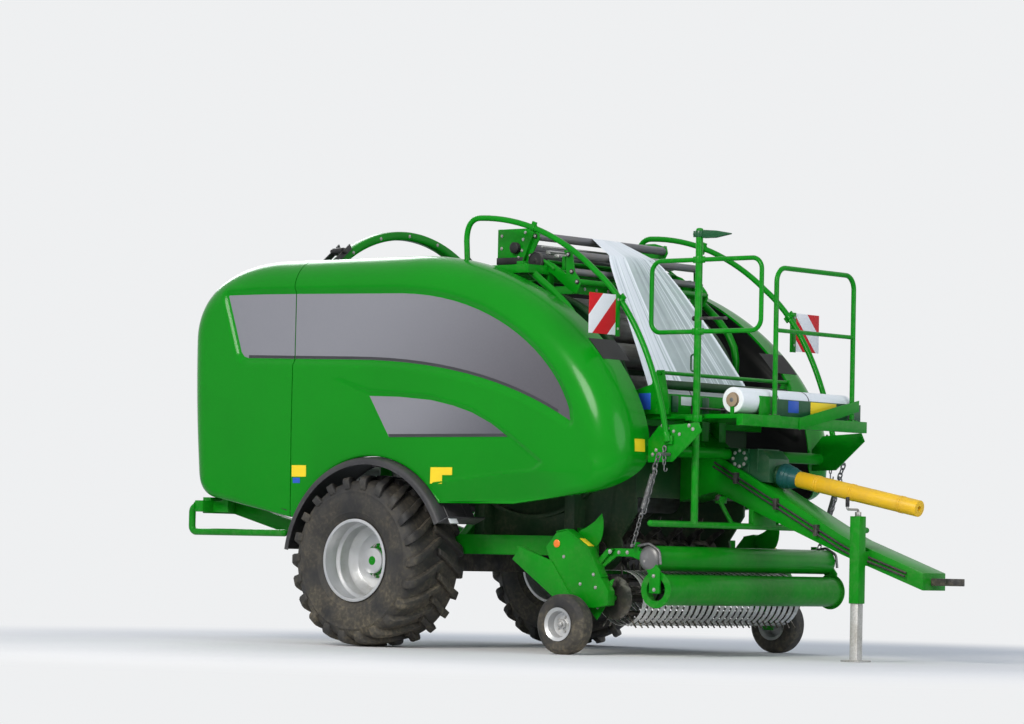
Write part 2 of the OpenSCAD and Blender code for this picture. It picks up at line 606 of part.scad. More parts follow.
// Drawbar's profile: shoulder, slope, neck; the functions give the height just above or below its faces
drawbar_shoulder = [2080, 1600];
drawbar_rise = [2280, 1443];
drawbar_fall = [3390, 872];
drawbar_neck = [3420, 728];
drawbar_belly = [2300, 1164];
function between(p, q, x) = p[1] + (x - p[0]) * (q[1] - p[1]) / (q[0] - p[0]);
function drawbar_top(x) = between(drawbar_rise, drawbar_fall, x) + 1.5 * fit;
function shoulder_top(x) = between(drawbar_shoulder, drawbar_rise, x) + 1.5 * fit;
function drawbar_bottom(x) = between(drawbar_belly, drawbar_neck, x) - 1.5 * fit;
drawbar_profile = [[chamber_front + fit, 1090], [chamber_front + fit, drawbar_shoulder[1]], drawbar_shoulder, drawbar_rise, drawbar_fall,
                   [3470, 836], [4080, 620], [4080, 500], drawbar_neck, drawbar_belly];
module drawbar() color("green") {
    plate_xz(drawbar_profile, -drawbar_w / 2, drawbar_w / 2);
    // sleeve of the parking jack
    difference() {
        block([jack_x - jack_side / 2, jack_y - jack_side / 2, 400], [jack_x + jack_side / 2, jack_y + jack_side / 2, 1000]);
        block([jack_x - jack_side / 2 + 8, jack_y - jack_side / 2 + 8, 399], [jack_x + jack_side / 2 - 8, jack_y + jack_side / 2 - 8, 980]);
    }
    block([jack_x - 40, jack_y + jack_side / 2, 660], [jack_x + 40, -drawbar_w / 2, 760]);
}
module hitch_eye() color("dimgray") difference() {
    union() {
        translate([eye_x, 0, eye_z - 25]) cylinder(h = 50, r = eye_d / 2);
        block([4080, -40, eye_z - 25], [eye_x, 40, eye_z + 25]);
    }
    translate([eye_x, 0, eye_z - 26]) cylinder(h = 52, r = eye_bore / 2);
}
module jack_leg() color("silver") {
    j = jack_side / 2 - 8 - fit;
    block([jack_x - j, jack_y - j, 12], [jack_x + j, jack_y + j, 660]);
    block([jack_x - 80, jack_y - 70, 0], [jack_x + 80, jack_y + 70, 12]);
}
pto_from = [2790, 0, 1285];
pto_to = [3950, 0, 1060];
pto_along = unit(pto_to - pto_from);
module gearbox() color("darkgreen") {
    plate_xz([[2360, drawbar_top(2360)], [2680, drawbar_top(2680)], [2760, 1230], [2760, 1400], [2700, 1460], [2360, 1480]], -120, 120);
    strut(pto_from - 60 * pto_along, pto_from - fit * pto_along, pto_r - 8);
}
module pto_shaft() color("gold") difference() {
    strut(pto_from, pto_to, pto_r);
    strut(pto_to - 90 * pto_along, pto_to + 10 * pto_along, pto_bore / 2);
}
module lamps() color("red") both_sides() block([-1745, 900, 965], [-1690 - fit, 1130, 1055]);

// Carcass of a tyre: rows of radius and half width from bead to tread
module tyre() {
    base = wheel_z - lug_h;
    half = tyre_w / 2;
    side = curve([[rim_r + 3, half - 35], [rim_r + 60, half + 6], [base - 90, half + 8], [base - 22, half - 25]], 8);
    rows = concat([[rim_r - 12, half - 36], [rim_r + 2, half - 36]], side, [[base - 22, half - 25], [base, half - 90]]);
    mirrored = [for (i = [len(rows) - 1:-1:0]) [rows[i][0], -rows[i][1]]];
    crown = [[base - 60, half - 4], [wheel_z - 16, half], [wheel_z, half - 70]];
    crown_mirrored = [for (i = [len(crown) - 1:-1:0]) [crown[i][0], -crown[i][1]]];
    rotate([90, 0, 0]) rotate_extrude() polygon(concat(rows, mirrored));
    intersection() {
        rotate([90, 0, 0]) rotate_extrude() polygon(concat(crown, crown_mirrored));
        for (s = [0, 1]) for (i = [0:lug_count - 1]) mirror([0, s, 0])
            rotate([0, 360 * (i + s / 2) / lug_count, 0]) lug();
    }
}
// Plan of a lug: rows of distance across the tread, sweep round it and half thickness
lug_rows = [[-18, -74, 24], [70, -28, 27], [160, 32, 30], [290, 84, 36]];
module lug() translate([0, 0, wheel_z - lug_h - 30]) linear_extrude(lug_h + 60)
    polygon(concat([for (r = lug_rows) [r[1] - r[2], r[0]]],
                   [for (i = [len(lug_rows) - 1:-1:0]) [lug_rows[i][1] + lug_rows[i][2], lug_rows[i][0]]]));
module wheel_place() translate([0, track, wheel_z]) children();
module tyre_left() color("#222222") wheel_place() tyre();
module tyre_right() color("#222222") right_side() wheel_place() tyre();

// A profile of radius and distance outwards, turned about the wheel's axis
module spun(points) rotate([-90, 0, 0]) rotate_extrude() polygon(points);

// Rim: barrel with flanges and a well, a deep disc, and the hub that turns on the stub axle
module rim() {
    half = tyre_w / 2 - 30;
    seat = rim_r - 13;
    difference() {
        union() {
            spun([[rim_r, half + 8], [rim_r, half], [seat, half - 6], [seat, 130], [seat - 21, 110], [seat - 21, 30],
                  [seat, 10], [seat, 6 - half], [rim_r, -half], [rim_r, -half - 8], [seat - 9, -half - 8],
                  [seat - 9, -6], [seat - 33, 10], [seat - 77, -30], [110, -30], [110, -18], [seat - 83, -18],
                  [seat - 33, 34], [seat - 30, 120], [seat - 9, 140], [seat - 9, half + 8]]);
            bar_y(0, 0, 125, -50, -20);
            bar_y(0, 0, 92, -90, 60);
        }
        bar_y(0, 0, 45 + fit, -91, 42);
    }
}
module rim_left() color("silver") wheel_place() rim();
module rim_right() color("silver") right_side() wheel_place() rim();

// Pick-up: everything that swings about the pivot in front of the chamber
arm_reach = 1050;
module pickup_frame() color("green") {
    both_sides() {
        // shields at the reel's ends
        plate_xz([[1578, 745], [1674, 851], [1764, 866], [1960, 740], [2076, 540], [2140, 450], [2140, 350], [2030, 330],
                  [1900, 330], [1723, 376]],
            arm_reach + 15, arm_reach + 90);
        // pivot arm
        difference() {
            union() {
                bar_y(pivot_x, pivot_z, 50, 715, 730);
                plate_xz([[pivot_x - 48, pivot_z - 10], [pivot_x + 40, pivot_z + 30], [1830, 400], [1760, 370]], 715, 730);
            }
            bar_y(pivot_x, pivot_z, 25 + fit, 714, 731);
        }
        // arc arm of the crop roller
        plate_xz([[1980, 650], [2130, 745], [2310, 745], [2450, 700], [2530, 600], [2530, 440], [2440, 440],
                  [2440, 560], [2380, 660], [2280, 690], [2150, 690], [2020, 600]], arm_reach, arm_reach + 15);
        plate_xz([[1284, 655], [1355, 743], [1640, 650], [1900, 300], [1900, 170], [1820, 170], [1700, 370]],
            arm_reach + 90, arm_reach + 105);
        bar_y(gauge_x, gauge_d / 2, 14, arm_reach + 90, gauge_y + 60);
        // lug and pin of the lift chain
        block([2300, arm_reach, 700], [2345, arm_reach + 15, 790]);
        bar_y(2322, 765, 12, arm_reach + 14, 1090 - fit);
        // pin of the crop roller
        bar_y(crop_x, crop_z, 15, arm_reach - 60, arm_reach);
        bar_y(reel_x, reel_z, 20, arm_reach - 100, arm_reach + 20);
    }
    bar_y(cross_tube[0], cross_tube[1], cross_tube[2], -arm_reach - 20, arm_reach + 20);
    block([top_beam[0], -arm_reach - 20, reel_z + band_r - 25], [top_beam[1], arm_reach + 20, reel_z + band_r - fit]);
    block([2150, -arm_reach, 735], [2360, arm_reach, 745]);
    bar_y(2430, 680, 88, -arm_reach, arm_reach);
}

// Bands between the tines: round the front of the reel, straight back over its top to a beam, and back below
// it to the cross tube
band_w = 44;
band_t = 3;
top_beam = [1880, 1895];
cross_tube = [1790, 400, 35];
band_steps = 18;
tube_end = [cross_tube[0], cross_tube[1]];
band_end = reel_at(-130, band_r + band_t / 2);
band_back = unit(tube_end - band_end);
band_up = [-band_back[1], band_back[0]];
band_stop = tube_end - band_back * (cross_tube[2] + fit);
function reel_at(a, r) = [reel_x + r * cos(a), reel_z + r * sin(a)];
function band_arc(r) = [for (i = [0:band_steps]) reel_at(90 - 220 * i / band_steps, r)];
function backwards(list) = [for (i = [len(list) - 1:-1:0]) list[i]];
module band() plate_xz(concat([[top_beam[0], reel_z + band_r + band_t]], band_arc(band_r + band_t), [band_stop + band_up * band_t / 2],
    [band_stop - band_up * band_t / 2], backwards(band_arc(band_r)), [[top_beam[0], reel_z + band_r]]), -band_w / 2, band_w / 2);
module stripper_bands() color("silver")
    for (i = [0:tine_count - 2]) translate([0, (i - (tine_count - 2) / 2) * tine_pitch, 0]) band();
// Reel: shaft, discs, bars and tines
module tine_reel() color("dimgray") {
    difference() {
        union() {
            bar_y(reel_x, reel_z, 32, -1015, 1015);
            for (y = [-1010, -5, 1000]) bar_y(reel_x, reel_z, 150, y, y + 10);
        }
        both_sides() bar_y(reel_x, reel_z, 20 + fit, 1015 - 120, 1016);
    }
    for (b = [0:bar_count - 1]) translate([reel_x, 0, reel_z]) rotate([0, 360 * b / bar_count, 0]) {
        bar_y(0, 128, 14, -1005, 1005);
        for (i = [0:tine_count - 1]) {
            y = (i - (tine_count - 1) / 2) * tine_pitch;
            plate_xz([[-6, 120], [6, 120], [14, 170], [8, tine_r - 1], [0, tine_r - 1], [2, 170]], y - 4, y + 4);
        }
    }
}
module crop_roller() color("green") difference() {
    bar_y(crop_x, crop_z, crop_r, -arm_reach + 8, arm_reach - 8);
    both_sides() bar_y(crop_x, crop_z, 15 + fit, arm_reach - 90, arm_reach);
}
module feed_rotor() color("silver") {
    bar_y(rotor_x, rotor_z, 70, -chamber_y + 6, chamber_y - 6);
    bar_y(rotor_x, rotor_z, 40, -chamber_y - plate_t - 10, chamber_y + plate_t + 10);
    for (i = [0:13]) translate([rotor_x, (i - 6.5) * 84, rotor_z]) rotate([0, i * 40, 0])
        for (k = [0:2]) rotate([0, 120 * k, 0]) plate_xz([[-40, 0], [40, 0], [30, 130], [60, rotor_r], [40, rotor_r], [-10, 150]], -5, 5);
}
module gauge_tyre() translate([gauge_x, gauge_y, gauge_d / 2]) rotate([90, 0, 0]) rotate_extrude()
    polygon([[100, -gauge_w / 2 + 10], [130, -gauge_w / 2], [180, -gauge_w / 2 + 4], [gauge_d / 2, -gauge_w / 2 + 34],
             [gauge_d / 2, gauge_w / 2 - 34], [180, gauge_w / 2 - 4], [130, gauge_w / 2], [100, gauge_w / 2 - 10]]);
module gauge_rim() translate([gauge_x, gauge_y, gauge_d / 2]) rotate([90, 0, 0]) rotate_extrude()
    polygon([[14 + fit, -45], [30, -45], [30, -20], [85, -24], [90, -60], [100, -60], [100, 60], [90, 60], [85, 0], [30, 0], [30, 45], [14 + fit, 45]]);
module gauge_tyre_left() color("#222222") gauge_tyre();
module gauge_tyre_right() color("#222222") right_side() gauge_tyre();
module gauge_rim_left() color("silver") gauge_rim();
module gauge_rim_right() color("silver") right_side() gauge_rim();

placed() chassis();
placed() guard_tubes();
placed() axle_beam();
placed() upper_frame();
placed() fender_right();
placed() fender_left();
placed() rear_shell_right();
placed() rear_shell_left();
placed() door_right();
placed() door_left();
placed() chamber();
placed() bale_rollers();
placed() wrap_ring();
placed() dispensers();
placed() dispenser_film();
placed() ring_guides();
placed() guard_hoops();
placed() warning_boards();
placed() applicator();
placed() applicator_rollers();
placed() film_web();
placed() film_rolls();
placed() platform();
placed() railings();
placed() arm_plates();
placed() lift_chains();
placed() drawbar();
placed() hitch_eye();
placed() gearbox();
placed() pto_shaft();
placed() jack_leg();
placed() lamps();
placed() tyre_right();
placed() tyre_left();
placed() rim_right();
placed() rim_left();
placed() pickup_frame();
placed() stripper_bands();
placed() tine_reel();
placed() crop_roller();
placed() feed_rotor();
placed() gauge_tyre_right();
placed() gauge_tyre_left();
placed() gauge_rim_right();
placed() gauge_rim_left();
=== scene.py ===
"""Looks of a towed baler-wrapper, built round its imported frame."""

import json
from math import asin, cos, exp, pi, radians, sin, tan

import bpy
import numpy as np
from mathutils import Matrix, Vector


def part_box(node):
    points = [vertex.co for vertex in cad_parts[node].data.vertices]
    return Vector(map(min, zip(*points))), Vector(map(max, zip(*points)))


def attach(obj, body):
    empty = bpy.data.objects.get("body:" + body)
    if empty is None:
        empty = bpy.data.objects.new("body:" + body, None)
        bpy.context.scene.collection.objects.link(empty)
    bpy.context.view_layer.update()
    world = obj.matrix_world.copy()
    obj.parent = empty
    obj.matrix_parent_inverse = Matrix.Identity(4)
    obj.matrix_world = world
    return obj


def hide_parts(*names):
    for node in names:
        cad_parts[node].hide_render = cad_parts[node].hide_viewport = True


bl_info = {
    "name": "Baler-wrapper dressing",
    "version": (1, 0, 0),
    "blender": (4, 5, 0),
    "location": "View3D > Sidebar > Baler",
    "description": "Builds the visible pieces of a towed baler-wrapper round its frame",
    "category": "Object",
}

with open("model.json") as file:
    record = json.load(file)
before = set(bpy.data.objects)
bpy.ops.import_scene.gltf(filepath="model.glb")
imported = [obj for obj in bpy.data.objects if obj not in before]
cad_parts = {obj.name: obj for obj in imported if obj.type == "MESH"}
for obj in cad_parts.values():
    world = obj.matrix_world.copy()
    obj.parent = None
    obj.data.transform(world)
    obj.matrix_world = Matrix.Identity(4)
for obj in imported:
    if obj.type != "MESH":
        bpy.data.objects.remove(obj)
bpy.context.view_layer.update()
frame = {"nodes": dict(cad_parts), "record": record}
BODY_OF = {n: b for b, ns in frame["record"]["behaviour"]["bodies"].items() for n in ns}
AXLE = (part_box("tyre_left")[0].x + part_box("tyre_left")[1].x) / 2
PAINT = {}
SOLID_MERGE = 0.00002
SPUN_MERGE = 0.00005


def at(x, y, z):
    """A place whose x is measured from the wheel axle, in the frame."""
    return Vector((x + AXLE, y, z))


# Selecting and finishing

def rest():
    """Object mode, with nothing selected."""
    if bpy.context.object and bpy.context.object.mode != "OBJECT":
        bpy.ops.object.mode_set(mode="OBJECT")
    bpy.ops.object.select_all(action="DESELECT")


def choose(*objects):
    rest()
    for o in objects:
        o.hide_set(False)
        o.select_set(True)
    bpy.context.view_layer.objects.active = objects[-1]
    return objects[-1]


def settle(o):
    """Its transform goes into its mesh."""
    choose(o)
    bpy.ops.object.transform_apply(location=True, rotation=True, scale=True)
    return o


def modify(o, kind, **values):
    choose(o)
    bpy.ops.object.modifier_add(type=kind)
    m = o.modifiers[-1]
    for key, value in values.items():
        setattr(m, key, value)
    bpy.ops.object.modifier_apply(modifier=m.name)
    return o


def rounded(o, width, segments=2, angle=32):
    return modify(o, "BEVEL", width=width, segments=segments, limit_method="ANGLE",
                  angle_limit=radians(angle), harden_normals=False)


def outwards(o, merge=0.0001):
    choose(o)
    bpy.ops.object.mode_set(mode="EDIT")
    bpy.ops.mesh.select_all(action="SELECT")
    if merge:
        bpy.ops.mesh.remove_doubles(threshold=merge)
    bpy.ops.mesh.normals_make_consistent(inside=False)
    bpy.ops.object.mode_set(mode="OBJECT")
    return o


def joined(pieces, name="piece"):
    """Pieces made into one object, which is returned."""
    pieces = [p for p in pieces if p]
    choose(*pieces)
    if len(pieces) > 1:
        bpy.ops.object.join()
    o = bpy.context.view_layer.objects.active
    o.name = name
    return o


def finish(o, name, paint, angle=34, stands_for=(), body="frame"):
    """Name, shading, paint, body and slot of a finished piece; paint None keeps its materials."""
    settle(o)
    bpy.ops.object.shade_smooth_by_angle(angle=radians(angle))
    o.name = name
    o.data.name = name
    if paint is not None:
        o.data.materials.clear()
        o.data.materials.append(PAINT[paint])
    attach(o, body)
    if stands_for:
        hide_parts(*stands_for)
    return o


def twin(o, offset=(0, 0, 0)):
    """A copy moved by an offset."""
    c = o.copy()
    c.data = o.data.copy()
    bpy.context.collection.objects.link(c)
    c.data.transform(Matrix.Translation(Vector(offset)))
    return c


def turned(o, angle, axis, centre):
    """A copy turned about an axis through a point."""
    c = twin(o)
    m = Matrix.Translation(centre) @ Matrix.Rotation(angle, 4, axis) @ Matrix.Translation(-Vector(centre))
    c.data.transform(m)
    return c


def other_side(o):
    """A copy mirrored to the machine's other side."""
    c = twin(o)
    c.data.transform(Matrix.Scale(-1, 4, (0, 1, 0)))
    c.data.flip_normals()
    return c


# Stock shapes

def block(low, high, bevel=0.0, segments=2):
    low, high = Vector(low), Vector(high)
    rest()
    bpy.ops.mesh.primitive_cube_add(size=1, location=(low + high) / 2)
    o = bpy.context.object
    o.scale = high - low
    settle(o)
    return rounded(o, bevel, segments) if bevel else o


def brick(low, high, bevel=0.0, segments=2):
    """A block between two places whose x is measured from the axle."""
    return block(at(*low), at(*high), bevel, segments)


def drum(p, q, r, sides=32, r2=None, bevel=0.0):
    """A round bar or cone from p to q."""
    p, q = Vector(p), Vector(q)
    rest()
    turn = (q - p).to_track_quat("Z", "Y").to_euler()
    if r2 is None:
        bpy.ops.mesh.primitive_cylinder_add(vertices=sides, radius=r, depth=(q - p).length,
                                            location=(p + q) / 2, rotation=turn)
    else:
        bpy.ops.mesh.primitive_cone_add(vertices=sides, radius1=r, radius2=r2, depth=(q - p).length,
                                        location=(p + q) / 2, rotation=turn)
    o = settle(bpy.context.object)
    return rounded(o, bevel) if bevel else o


def ball(centre, r, rings=12, squash=1.0):
    rest()
    bpy.ops.mesh.primitive_uv_sphere_add(segments=2 * rings, ring_count=rings, radius=r, location=centre)
    o = bpy.context.object
    o.scale = (1, 1, squash)
    return settle(o)


def loop(points, fill):
    """A closed outline: a circle primitive whose points are moved into place."""
    rest()
    bpy.ops.mesh.primitive_circle_add(vertices=len(points), radius=1, fill_type=fill)
    o = bpy.context.object
    o.data.vertices.foreach_set("co", np.array([tuple(p) for p in points], np.float32).ravel())
    o.data.update()
    return o


def slab(points, move, bevel=0.0):
    """A plate: an outline of places, extruded by one move."""
    o = loop(points, "NGON")
    choose(o)
    bpy.ops.object.mode_set(mode="EDIT")
    bpy.ops.mesh.select_all(action="SELECT")
    bpy.ops.mesh.extrude_region_move(TRANSFORM_OT_translate={"value": tuple(move)})
    bpy.ops.object.mode_set(mode="OBJECT")
    outwards(o, 0)
    return rounded(o, bevel) if bevel else o


def plate(points, y0, y1, bevel=0.0):
    """A plate whose outline is given in x from the axle and z."""
    return slab([at(p[0], y0, p[1]) for p in points], (0, y1 - y0, 0), bevel)


def across(points, x0, x1, bevel=0.0):
    """A plate whose outline is given in y and z."""
    return slab([at(x0, p[0], p[1]) for p in points], (x1 - x0, 0, 0), bevel)


def turned_part(profile, centre, axis="Y", steps=64):
    """A closed profile of radius and distance along the axis X or Y, spun once round."""
    centre = Vector(centre)
    if axis == "Y":
        places = [centre + Vector((r, d, 0)) for r, d in profile]
        line = (0, 1, 0)
    else:
        places = [centre + Vector((d, 0, r)) for r, d in profile]
        line = (1, 0, 0)
    o = loop(places, "NOTHING")
    choose(o)
    bpy.ops.object.mode_set(mode="EDIT")
    bpy.ops.mesh.select_all(action="SELECT")
    bpy.ops.mesh.spin(steps=steps, angle=2 * pi, center=centre, axis=line)
    bpy.ops.object.mode_set(mode="OBJECT")
    return outwards(o, SPUN_MERGE)


def sleeve(r0, r1, d0, d1, centre, axis="Y", steps=64):
    """A ring between two radii and two distances along its axis."""
    return turned_part([(r0, d0), (r1, d0), (r1, d1), (r0, d1)], centre, axis, steps)


def bends(corners, radius, steps=6):
    """A path through corners with each bend rounded."""
    c = [Vector(p) for p in corners]
    path = [c[0]]
    for p, q, r in zip(c, c[1:], c[2:]):
        u, v = (q - p).normalized(), (r - q).normalized()
        turn = u.angle(v)
        if turn < 0.02:
            path.append(q)
            continue
        w = (v - u * u.dot(v)).normalized()
        start = q - u * radius * tan(turn / 2)
        middle = start + w * radius
        for k in range(steps + 1):
            a = turn * k / steps
            path.append(middle - w * radius * cos(a) + u * radius * sin(a))
    return path + [c[-1]]


def tube(path, r, sides=16):
    """A round tube: a curve with a round section, made a mesh."""
    rest()
    line = bpy.data.curves.new("line", "CURVE")
    line.dimensions = "3D"
    line.bevel_depth = r
    line.bevel_resolution = max(0, sides // 4 - 1)
    line.use_fill_caps = True
    line.resolution_u = 1
    s = line.splines.new("POLY")
    s.points.add(len(path) - 1)
    for point, p in zip(s.points, path):
        point.co = (p[0], p[1], p[2], 1)
    o = bpy.data.objects.new("tube", line)
    bpy.context.collection.objects.link(o)
    choose(o)
    bpy.ops.object.convert(target="MESH")
    return outwards(bpy.context.object)


def crossbar(x, half, z, r, sides=16):
    """A tube across the machine, as far to the left as to the right."""
    return tube([at(x, -half, z), at(x, half, z)], r, sides)


def hexes(places, normal, r=0.012, h=0.009):
    """Hexagon bolt heads with a washer at several places."""
    normal = Vector(normal)
    first = joined([drum(Vector(places[0]), Vector(places[0]) + normal * h, r, 6, bevel=0.0012),
                    drum(Vector(places[0]), Vector(places[0]) + normal * 0.003, r * 1.35, 16)])
    rest_of = [twin(first, Vector(p) - Vector(places[0])) for p in places[1:]]
    return joined([first] + rest_of)


def dressed(node, paint, bevel=0.0, angle=30, flat=0.6):
    """A merged and bevelled copy of a solid, which stands for it."""
    c = frame["nodes"][node].copy()
    c.data = frame["nodes"][node].data.copy()
    c.parent = None
    for key in list(c.keys()):
        if key.startswith("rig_"):
            del c[key]
    bpy.context.collection.objects.link(c)
    c.modifiers.clear()
    choose(c)
    if c.data.has_custom_normals:
        bpy.ops.mesh.customdata_custom_splitnormals_clear()
    bpy.ops.object.mode_set(mode="EDIT")
    bpy.ops.mesh.select_all(action="SELECT")
    bpy.ops.mesh.remove_doubles(threshold=SOLID_MERGE)
    bpy.ops.mesh.dissolve_limited(angle_limit=radians(flat), delimit=set())
    bpy.ops.object.mode_set(mode="OBJECT")
    if bevel:
        rounded(c, bevel, 2, angle)
    return finish(c, "dressed_" + node, paint, angle, (node,), BODY_OF[node])


# Materials

class Wiring:
    """A node tree that is wired line by line."""

    def __init__(self, tree):
        self.tree = tree

    def add(self, kind, inputs=None, **values):
        n = self.tree.nodes.new(kind)
        for key, value in values.items():
            setattr(n, key, value)
        for key, value in (inputs or {}).items():
            if hasattr(value, "is_output"):
                self.tree.links.new(value, n.inputs[key])
            else:
                n.inputs[key].default_value = value
        return n

    def maths(self, kind, a, b=0.5, clamp=False):
        return self.add("ShaderNodeMath", {0: a, 1: b}, operation=kind, use_clamp=clamp).outputs[0]

    def times(self, a, b, clamp=False):
        return self.maths("MULTIPLY", a, b, clamp)

    def plus(self, a, b, clamp=False):
        return self.maths("ADD", a, b, clamp)

    def link(self, output, socket):
        self.tree.links.new(output, socket)

    def place(self):
        return self.add("ShaderNodeTexCoord").outputs["Object"]

    def ramp(self, value, low, high):
        n = self.add("ShaderNodeMapRange", {"Value": value, "From Min": low, "From Max": high},
                     interpolation_type="SMOOTHSTEP")
        return n.outputs["Result"]

    def blend(self, share, a, b):
        n = self.tree.nodes.new("ShaderNodeMix")
        n.data_type = "RGBA"
        for socket, value in ((n.inputs[0], share), (n.inputs[6], a), (n.inputs[7], b)):
            if hasattr(value, "is_output"):
                self.tree.links.new(value, socket)
            else:
                socket.default_value = value
        return n.outputs[2]

    def noise(self, scale, detail=3.0, vector=None):
        place = vector or self.place()
        return self.add("ShaderNodeTexNoise", {"Vector": place, "Scale": scale,
                                               "Detail": detail}).outputs["Fac"]


def new_group(name, inputs, outputs):
    tree = bpy.data.node_groups.new(name, "ShaderNodeTree")
    kinds = {"colour": "NodeSocketColor", "value": "NodeSocketFloat"}
    for label, kind, default in inputs:
        s = tree.interface.new_socket(name=label, in_out="INPUT", socket_type=kinds[kind])
        s.default_value = default
    for label, kind in outputs:
        tree.interface.new_socket(name=label, in_out="OUTPUT", socket_type=kinds[kind])
    w = Wiring(tree)
    return w, w.add("NodeGroupInput"), w.add("NodeGroupOutput")


def weathering_group():
    """Colour drift, field dust that gathers low down and on top, and worn edges."""
    w, i, o = new_group("Weathering", [("Colour", "colour", (0.5, 0.5, 0.5, 1)),
                                       ("Second Colour", "colour", (0.4, 0.4, 0.4, 1)),
                                       ("Dust Colour", "colour", (0.30, 0.25, 0.16, 1)),
                                       ("Worn Colour", "colour", (0.3, 0.3, 0.3, 1)),
                                       ("Dust", "value", 0.3), ("Dust Height", "value", 1.0),
                                       ("Wear", "value", 0.1), ("Drift Scale", "value", 3.0),
                                       ("Roughness", "value", 0.3)],
                        [("Colour", "colour"), ("Roughness", "value"), ("Height", "value"),
                         ("Dust Mask", "value")])
    place = w.place()
    g = i.outputs
    drift = w.add("ShaderNodeTexNoise", {"Vector": place, "Scale": g["Drift Scale"],
                                         "Detail": 3.0}).outputs["Fac"]
    base = w.blend(w.ramp(drift, 0.35, 0.68), g["Colour"], g["Second Colour"])
    z = w.add("ShaderNodeSeparateXYZ", {0: place}).outputs["Z"]
    low = w.maths("SUBTRACT", 1.0, w.maths("DIVIDE", z, g["Dust Height"]), True)
    up = w.add("ShaderNodeSeparateXYZ", {0: w.add("ShaderNodeNewGeometry").outputs["Normal"]}).outputs["Z"]
    lying = w.times(w.ramp(up, 0.35, 1.0), 0.45)
    speck = w.ramp(w.noise(38.0, 6.0, place), 0.42, 0.70)
    cloud = w.ramp(w.noise(5.0, 4.0, place), 0.30, 0.75)
    mask = w.times(w.plus(w.times(low, cloud), w.times(lying, cloud)), g["Dust"])
    mask = w.times(mask, w.plus(0.55, speck), True)
    point = w.add("ShaderNodeNewGeometry").outputs["Pointiness"]
    edge = w.times(w.ramp(point, 0.53, 0.60), w.ramp(w.noise(22.0, 5.0, place), 0.45, 0.62))
    edge = w.times(edge, g["Wear"], True)
    worn = w.blend(edge, base, g["Worn Colour"])
    dusty = w.blend(mask, worn, g["Dust Colour"])
    rough = w.plus(g["Roughness"], w.times(mask, 0.5))
    rough = w.plus(rough, w.times(w.maths("SUBTRACT", w.noise(9.0, 4.0, place), 0.5), 0.08), True)
    w.link(dusty, o.inputs["Colour"])
    w.link(rough, o.inputs["Roughness"])
    w.link(w.times(mask, speck), o.inputs["Height"])
    w.link(mask, o.inputs["Dust Mask"])
    return w.tree


def grain_group():
    """Fine moulded grain or orange peel."""
    w, i, o = new_group("Grain", [("Scale", "value", 300.0), ("Second Scale", "value", 60.0)],
                        [("Height", "value")])
    place = w.place()
    fine = w.add("ShaderNodeTexVoronoi", {"Vector": place, "Scale": i.outputs["Scale"]}).outputs["Distance"]
    soft = w.add("ShaderNodeTexNoise", {"Vector": place, "Scale": i.outputs["Second Scale"],
                                        "Detail": 2.0}).outputs["Fac"]
    w.link(w.plus(w.times(fine, 0.6), w.times(soft, 0.4)), o.inputs["Height"])
    return w.tree


def streak_group():
    """Streaks drawn out along Y, as on turned rollers and rolled film."""
    w, i, o = new_group("Streaks", [("Scale", "value", 40.0), ("Stretch", "value", 0.05)],
                        [("Mask", "value"), ("Height", "value")])
    place = w.place()
    x, y, z = w.add("ShaderNodeSeparateXYZ", {0: place}).outputs[:3]
    thin = w.add("ShaderNodeCombineXYZ", {0: x, 1: w.times(y, i.outputs["Stretch"]), 2: z}).outputs[0]
    n = w.add("ShaderNodeTexNoise", {"Vector": thin, "Scale": i.outputs["Scale"],
                                     "Detail": 5.0}).outputs["Fac"]
    w.link(w.ramp(n, 0.35, 0.65), o.inputs["Mask"])
    w.link(n, o.inputs["Height"])
    return w.tree


def slant_group():
    """Slanting stripes of one width, mirrored about the middle plane as a pair of boards has them."""
    w, i, o = new_group("Slant Stripes", [("Width", "value", 0.1), ("Lean", "value", 1.0),
                                          ("Start", "value", 0.0)], [("Mask", "value")])
    y, z = w.add("ShaderNodeSeparateXYZ", {0: w.place()}).outputs[1:3]
    way = w.plus(w.times(w.maths("ABSOLUTE", y, 0.0), i.outputs["Lean"]), z)
    way = w.maths("DIVIDE", w.plus(way, i.outputs["Start"]), w.times(i.outputs["Width"], 2.828))
    w.link(w.maths("GREATER_THAN", w.maths("FRACT", way, 0.0), 0.5), o.inputs["Mask"])
    return w.tree


def principled(name, roughness=0.5, metallic=0.0, coat=0.0, gloss=0.5):
    m = bpy.data.materials.new(name)
    m.use_nodes = True
    w = Wiring(m.node_tree)
    shader = m.node_tree.nodes["Principled BSDF"]
    shader.inputs["Roughness"].default_value = roughness
    shader.inputs["Metallic"].default_value = metallic
    shader.inputs["Coat Weight"].default_value = coat
    shader.inputs["Coat Roughness"].default_value = 0.06
    shader.inputs["Specular IOR Level"].default_value = gloss
    return m, w, shader


